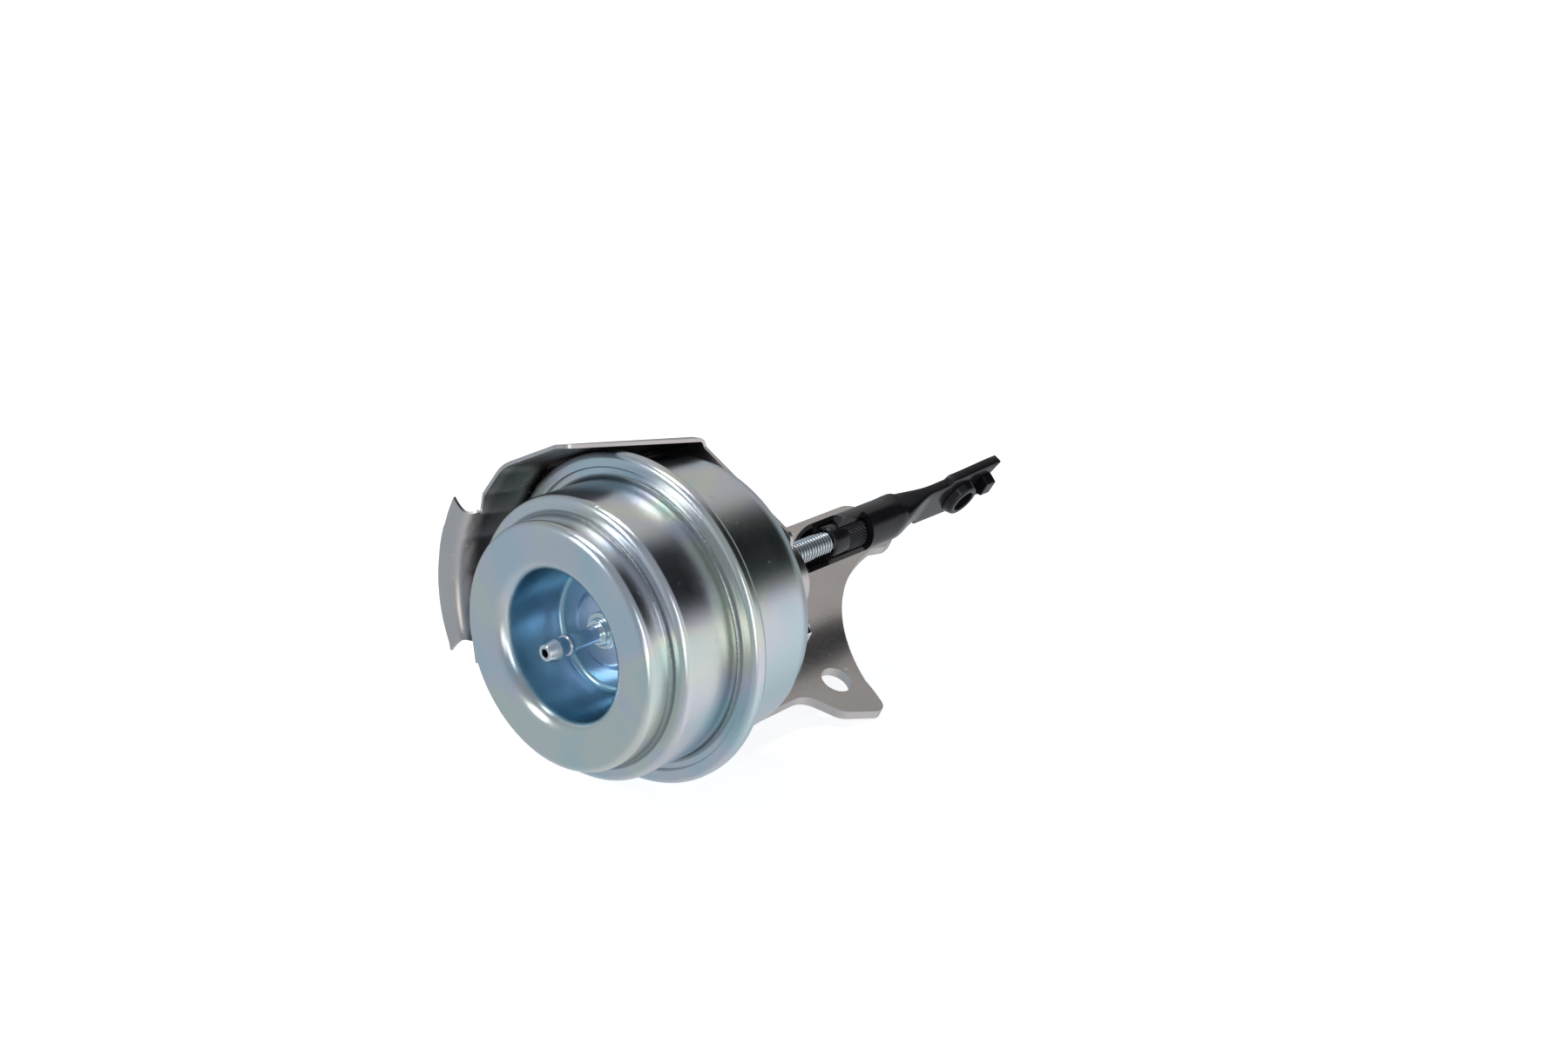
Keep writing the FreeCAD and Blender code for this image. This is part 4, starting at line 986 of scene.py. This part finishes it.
def eyelet():
    """Bush riveted in the eye plate: a rounded boss on the lever's side, a low rivet behind."""
    profile = rounded([
        (3.1, 3.9, 0.3), (4.6, 3.9, 0.9), (5.5, 1.5, 0.2), (4.15, 1.5, 0.0), (4.15, -1.5, 0.0),
        (5.3, -1.5, 0.2), (5.3, -2.2, 0.35), (3.1, -2.2, 0.3)], 6)
    work = bmesh.new()
    segments = 80
    rings = []
    for radius, height in profile:
        ring = []
        for k in range(segments):
            angle = TURN * k / segments
            point = Vector((EYE_X + SHIFT, 0, 0)) + EYE_AXIS * height
            point += Vector((1, 0, 0)) * radius * math.cos(angle) + ACROSS * radius * math.sin(angle)
            ring.append(work.verts.new(point * MM))
        rings.append(ring)
    for number in range(len(rings)):
        first, second = rings[number], rings[(number + 1) % len(rings)]
        for k in range(segments):
            following = (k + 1) % segments
            work.faces.new((first[k], first[following], second[following], second[k]))
    bmesh.ops.recalc_face_normals(work, faces=work.faces)
    mesh = bpy.data.meshes.new("eyelet_skin")
    work.to_mesh(mesh)
    work.free()
    smooth(mesh)
    add_object("eyelet_skin", mesh, BLACK, "rod_end", ["eyelet_bush"])


eyelet()


def retaining_clip():
    """Thin strap round the plate's end, with a rounded lug beside the boss."""
    blocks = [
        ((146.4, -0.4, 1.55), (150.2, 5.6, 4.4)), ((146.4, -2.6, -2.1), (150.9, 2.2, -1.55)),
        ((150.3, -2.6, -2.1), (150.9, 2.2, 2.1)), ((146.6, -2.6, 1.55), (150.9, 2.2, 2.1)),
    ]
    work = bmesh.new()
    for low, high in blocks:
        before = len(work.verts)
        bmesh.ops.create_cube(work, size=1.0)
        work.verts.ensure_lookup_table()
        for vert in work.verts[before:]:
            share = [vert.co[k] + 0.5 for k in range(3)]
            x, across, out = [low[k] + (high[k] - low[k]) * share[k] for k in range(3)]
            if out > 3.0:
                across = across * 0.7 + 0.8
            point = Vector((x + SHIFT, 0, 0)) + ACROSS * across + EYE_AXIS * out
            vert.co = point * MM
    mesh = bpy.data.meshes.new("retaining_clip_skin")
    work.to_mesh(mesh)
    work.free()
    smooth(mesh, 40)
    piece = add_object("retaining_clip_skin", mesh, BLACK, "rod_end", ["retaining_clip"])
    edge = piece.modifiers.new("edges", "BEVEL")
    edge.width = 0.9 * MM
    edge.segments = 4
    edge.limit_method = "ANGLE"
    edge.harden_normals = True


retaining_clip()

# ---------------------------------------------------------------------------------------------
# Kept CAD nodes and the return spring
# ---------------------------------------------------------------------------------------------

finish_node("spring_seat", ZINC_SMALL, 0.15)


def return_spring(turns=6.0, wire=1.3, around=14, per_turn=36):
    """The coil spring, filling the length and radius of the CAD spring's box."""
    low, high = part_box("return_spring")
    wire *= MM
    radius = high[1] - wire
    length = high[0] - low[0] - 2 * wire
    work = bmesh.new()
    rings = []
    count = int(turns * per_turn)
    for step in range(count + 1):
        angle = TURN * turns * step / count
        middle = low[0] + wire + length * step / count
        ring = []
        for number in range(around):
            turn = TURN * number / around
            out = radius + wire * math.cos(turn)
            ring.append(work.verts.new(
                (middle + wire * math.sin(turn), -out * math.sin(angle), out * math.cos(angle))))
        rings.append(ring)
    for first, second in zip(rings, rings[1:]):
        for number in range(around):
            after = (number + 1) % around
            work.faces.new((first[number], first[after], second[after], second[number]))
    work.faces.new(rings[0][::-1])
    work.faces.new(rings[-1])
    bmesh.ops.recalc_face_normals(work, faces=work.faces)
    mesh = bpy.data.meshes.new("coil_spring")
    work.to_mesh(mesh)
    work.free()
    smooth(mesh, 40)
    piece = add_object("coil_spring", mesh, SPRING, "housing", ["return_spring"])
    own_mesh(piece)


return_spring()
finish_node("diaphragm", RUBBER)
finish_node("piston_cup", ZINC_SMALL, 0.15)
finish_node("backing_plate", ZINC_SMALL, 0.15)
finish_node("bump_stop", RUBBER, 0.2)
finish_node("rivet_washer", ZINC_SMALL, 0.15)
finish_node("guide_bush", PLASTIC, 0.2)
finish_node("bush_retainer", ZINC_SMALL, 0.15)
finish_node("bracket_studs", ZINC_SMALL, 0.25)
finish_node("stud_washers", ZINC_SMALL, 0.2)
finish_node("stud_nuts", ZINC_SMALL, 0.3)

# ---------------------------------------------------------------------------------------------
# Floor, light and camera
# ---------------------------------------------------------------------------------------------

floor_z = cad_box[0].z
floor_mesh = bpy.data.meshes.new("floor")
reach = 8.0
floor_mesh.from_pydata(
    [(x, y, floor_z) for x, y in ((-reach, -reach), (reach, -reach), (reach, reach), (-reach, reach))],
    [], [(0, 1, 2, 3)])
floor = bpy.data.objects.new("floor", floor_mesh)
bpy.context.scene.collection.objects.link(floor)
floor_nodes = Nodes("floor")
floor_nodes.set(floor_nodes.shader.inputs["Base Color"],
                floor_nodes.mix(floor_nodes.noise(6.0), (0.80, 0.80, 0.80), (0.82, 0.82, 0.82)))
floor_nodes.shader.inputs["Roughness"].default_value = 0.9
floor_nodes.shader.inputs["Emission Color"].default_value = (1.0, 1.0, 1.0, 1.0)
floor_nodes.shader.inputs["Emission Strength"].default_value = 0.72
floor_mesh.materials.append(floor_nodes.material)
floor.visible_glossy = False
floor.visible_diffuse = False
floor.visible_shadow = False


def backdrop():
    """A white wall round the floor's edge, seen only behind low views."""
    work = bmesh.new()
    bmesh.ops.create_cone(work, segments=64, radius1=reach * 0.95, radius2=reach * 0.95, depth=reach)
    bmesh.ops.translate(work, verts=work.verts, vec=(0, 0, floor_z + reach * 0.49))
    mesh = bpy.data.meshes.new("backdrop")
    work.to_mesh(mesh)
    work.free()
    wall = bpy.data.objects.new("backdrop", mesh)
    bpy.context.scene.collection.objects.link(wall)
    white = Nodes("backdrop")
    white.set(white.shader.inputs["Base Color"],
              white.mix(white.noise(3.0), (0.80, 0.80, 0.80), (0.82, 0.82, 0.82)))
    white.shader.inputs["Emission Color"].default_value = (1.0, 1.0, 1.0, 1.0)
    white.shader.inputs["Emission Strength"].default_value = 1.0
    mesh.materials.append(white.material)
    for kind in ("visible_glossy", "visible_diffuse", "visible_shadow", "visible_transmission"):
        setattr(wall, kind, False)


backdrop()

world = bpy.data.worlds.new("studio")
bpy.context.scene.world = world
world.use_nodes = True


def studio_patches(tree, patches, base):
    """Soft round patches of light or dark on the sky: (direction, width in degrees, colour)."""
    direction = tree.nodes.new("ShaderNodeTexCoord").outputs["Generated"]
    colour = None
    for towards, width, softness, shade in patches:
        dot = tree.nodes.new("ShaderNodeVectorMath")
        dot.operation = "DOT_PRODUCT"
        tree.links.new(direction, dot.inputs[0])
        dot.inputs[1].default_value = Vector(towards).normalized()
        fade = tree.nodes.new("ShaderNodeMapRange")
        fade.interpolation_type = "SMOOTHSTEP"
        fade.inputs["From Min"].default_value = math.cos(math.radians(width + softness))
        fade.inputs["From Max"].default_value = math.cos(math.radians(max(0.0, width - softness)))
        tree.links.new(dot.outputs["Value"], fade.inputs["Value"])
        mix = tree.nodes.new("ShaderNodeMix")
        mix.data_type = "RGBA"
        tree.links.new(fade.outputs["Result"], mix.inputs["Factor"])
        if colour is None:
            mix.inputs[6].default_value = (*base, 1.0)
        else:
            tree.links.new(colour, mix.inputs[6])
        mix.inputs[7].default_value = (*shade, 1.0)
        colour = mix.outputs[2]
    tree.links.new(colour, tree.nodes["Background"].inputs["Color"])


studio_patches(world.node_tree, [
    ((0.0, 0.0, -1.0), 60.0, 35.0, (0.60, 0.63, 0.66)),
    ((0.35, -0.85, -0.35), 38.0, 22.0, (0.84, 0.86, 0.88)),
    ((-0.72, 0.62, -0.10), 50.0, 30.0, (0.42, 0.49, 0.54)),
    ((0.62, 0.36, 0.69), 25.0, 13.0, (0.50, 0.50, 0.49)),
    ((0.72, -0.49, 0.50), 24.0, 10.0, (0.008, 0.008, 0.010)),
    ((-0.62, -0.72, -0.15), 9.0, 7.0, (1.9, 1.86, 1.76)),
], (0.30, 0.33, 0.36))
world.node_tree.nodes["Background"].inputs["Strength"].default_value = 1.0


def softbox(name, place, target, width, height, power, colour=(1.0, 1.0, 1.0)):
    light = bpy.data.lights.new(name, "AREA")
    light.shape = "RECTANGLE"
    light.size = width
    light.size_y = height
    light.energy = power
    light.color = colour
    lamp = bpy.data.objects.new(name, light)
    lamp.location = place
    lamp.rotation_mode = "QUATERNION"
    lamp.rotation_quaternion = (Vector(target) - Vector(place)).to_track_quat("-Z", "Y")
    bpy.context.scene.collection.objects.link(lamp)


softbox("key_left", (-0.9, 0.35, 0.75), (0.03, 0.0, 0.0), 0.35, 0.5, 2.2)
softbox("top", (0.1, 0.15, 1.1), (0.03, 0.0, 0.0), 0.7, 0.3, 2.6)
softbox("front_fill", (-0.5, -1.1, 0.25), (0.03, 0.0, 0.0), 0.25, 0.7, 1.4)

camera_data = bpy.data.cameras.new("camera")
camera_data.lens = 50.0
camera_data.sensor_width = 36.0
camera_data.clip_start = 0.01
camera = bpy.data.objects.new("camera", camera_data)
bpy.context.scene.collection.objects.link(camera)
right = Vector((0.6520, -0.7582, 0.0003)).normalized()
ahead = Vector((0.7170, 0.6165, -0.3252)).normalized()
up = right.cross(ahead).normalized()
right = ahead.cross(up)
place = Matrix((right, up, -ahead)).transposed().to_4x4()
place.translation = Vector((-0.2979, -0.3209, 0.1785))
camera.matrix_world = place
bpy.context.scene.camera = camera

bpy.context.scene.view_settings.view_transform = "Standard"
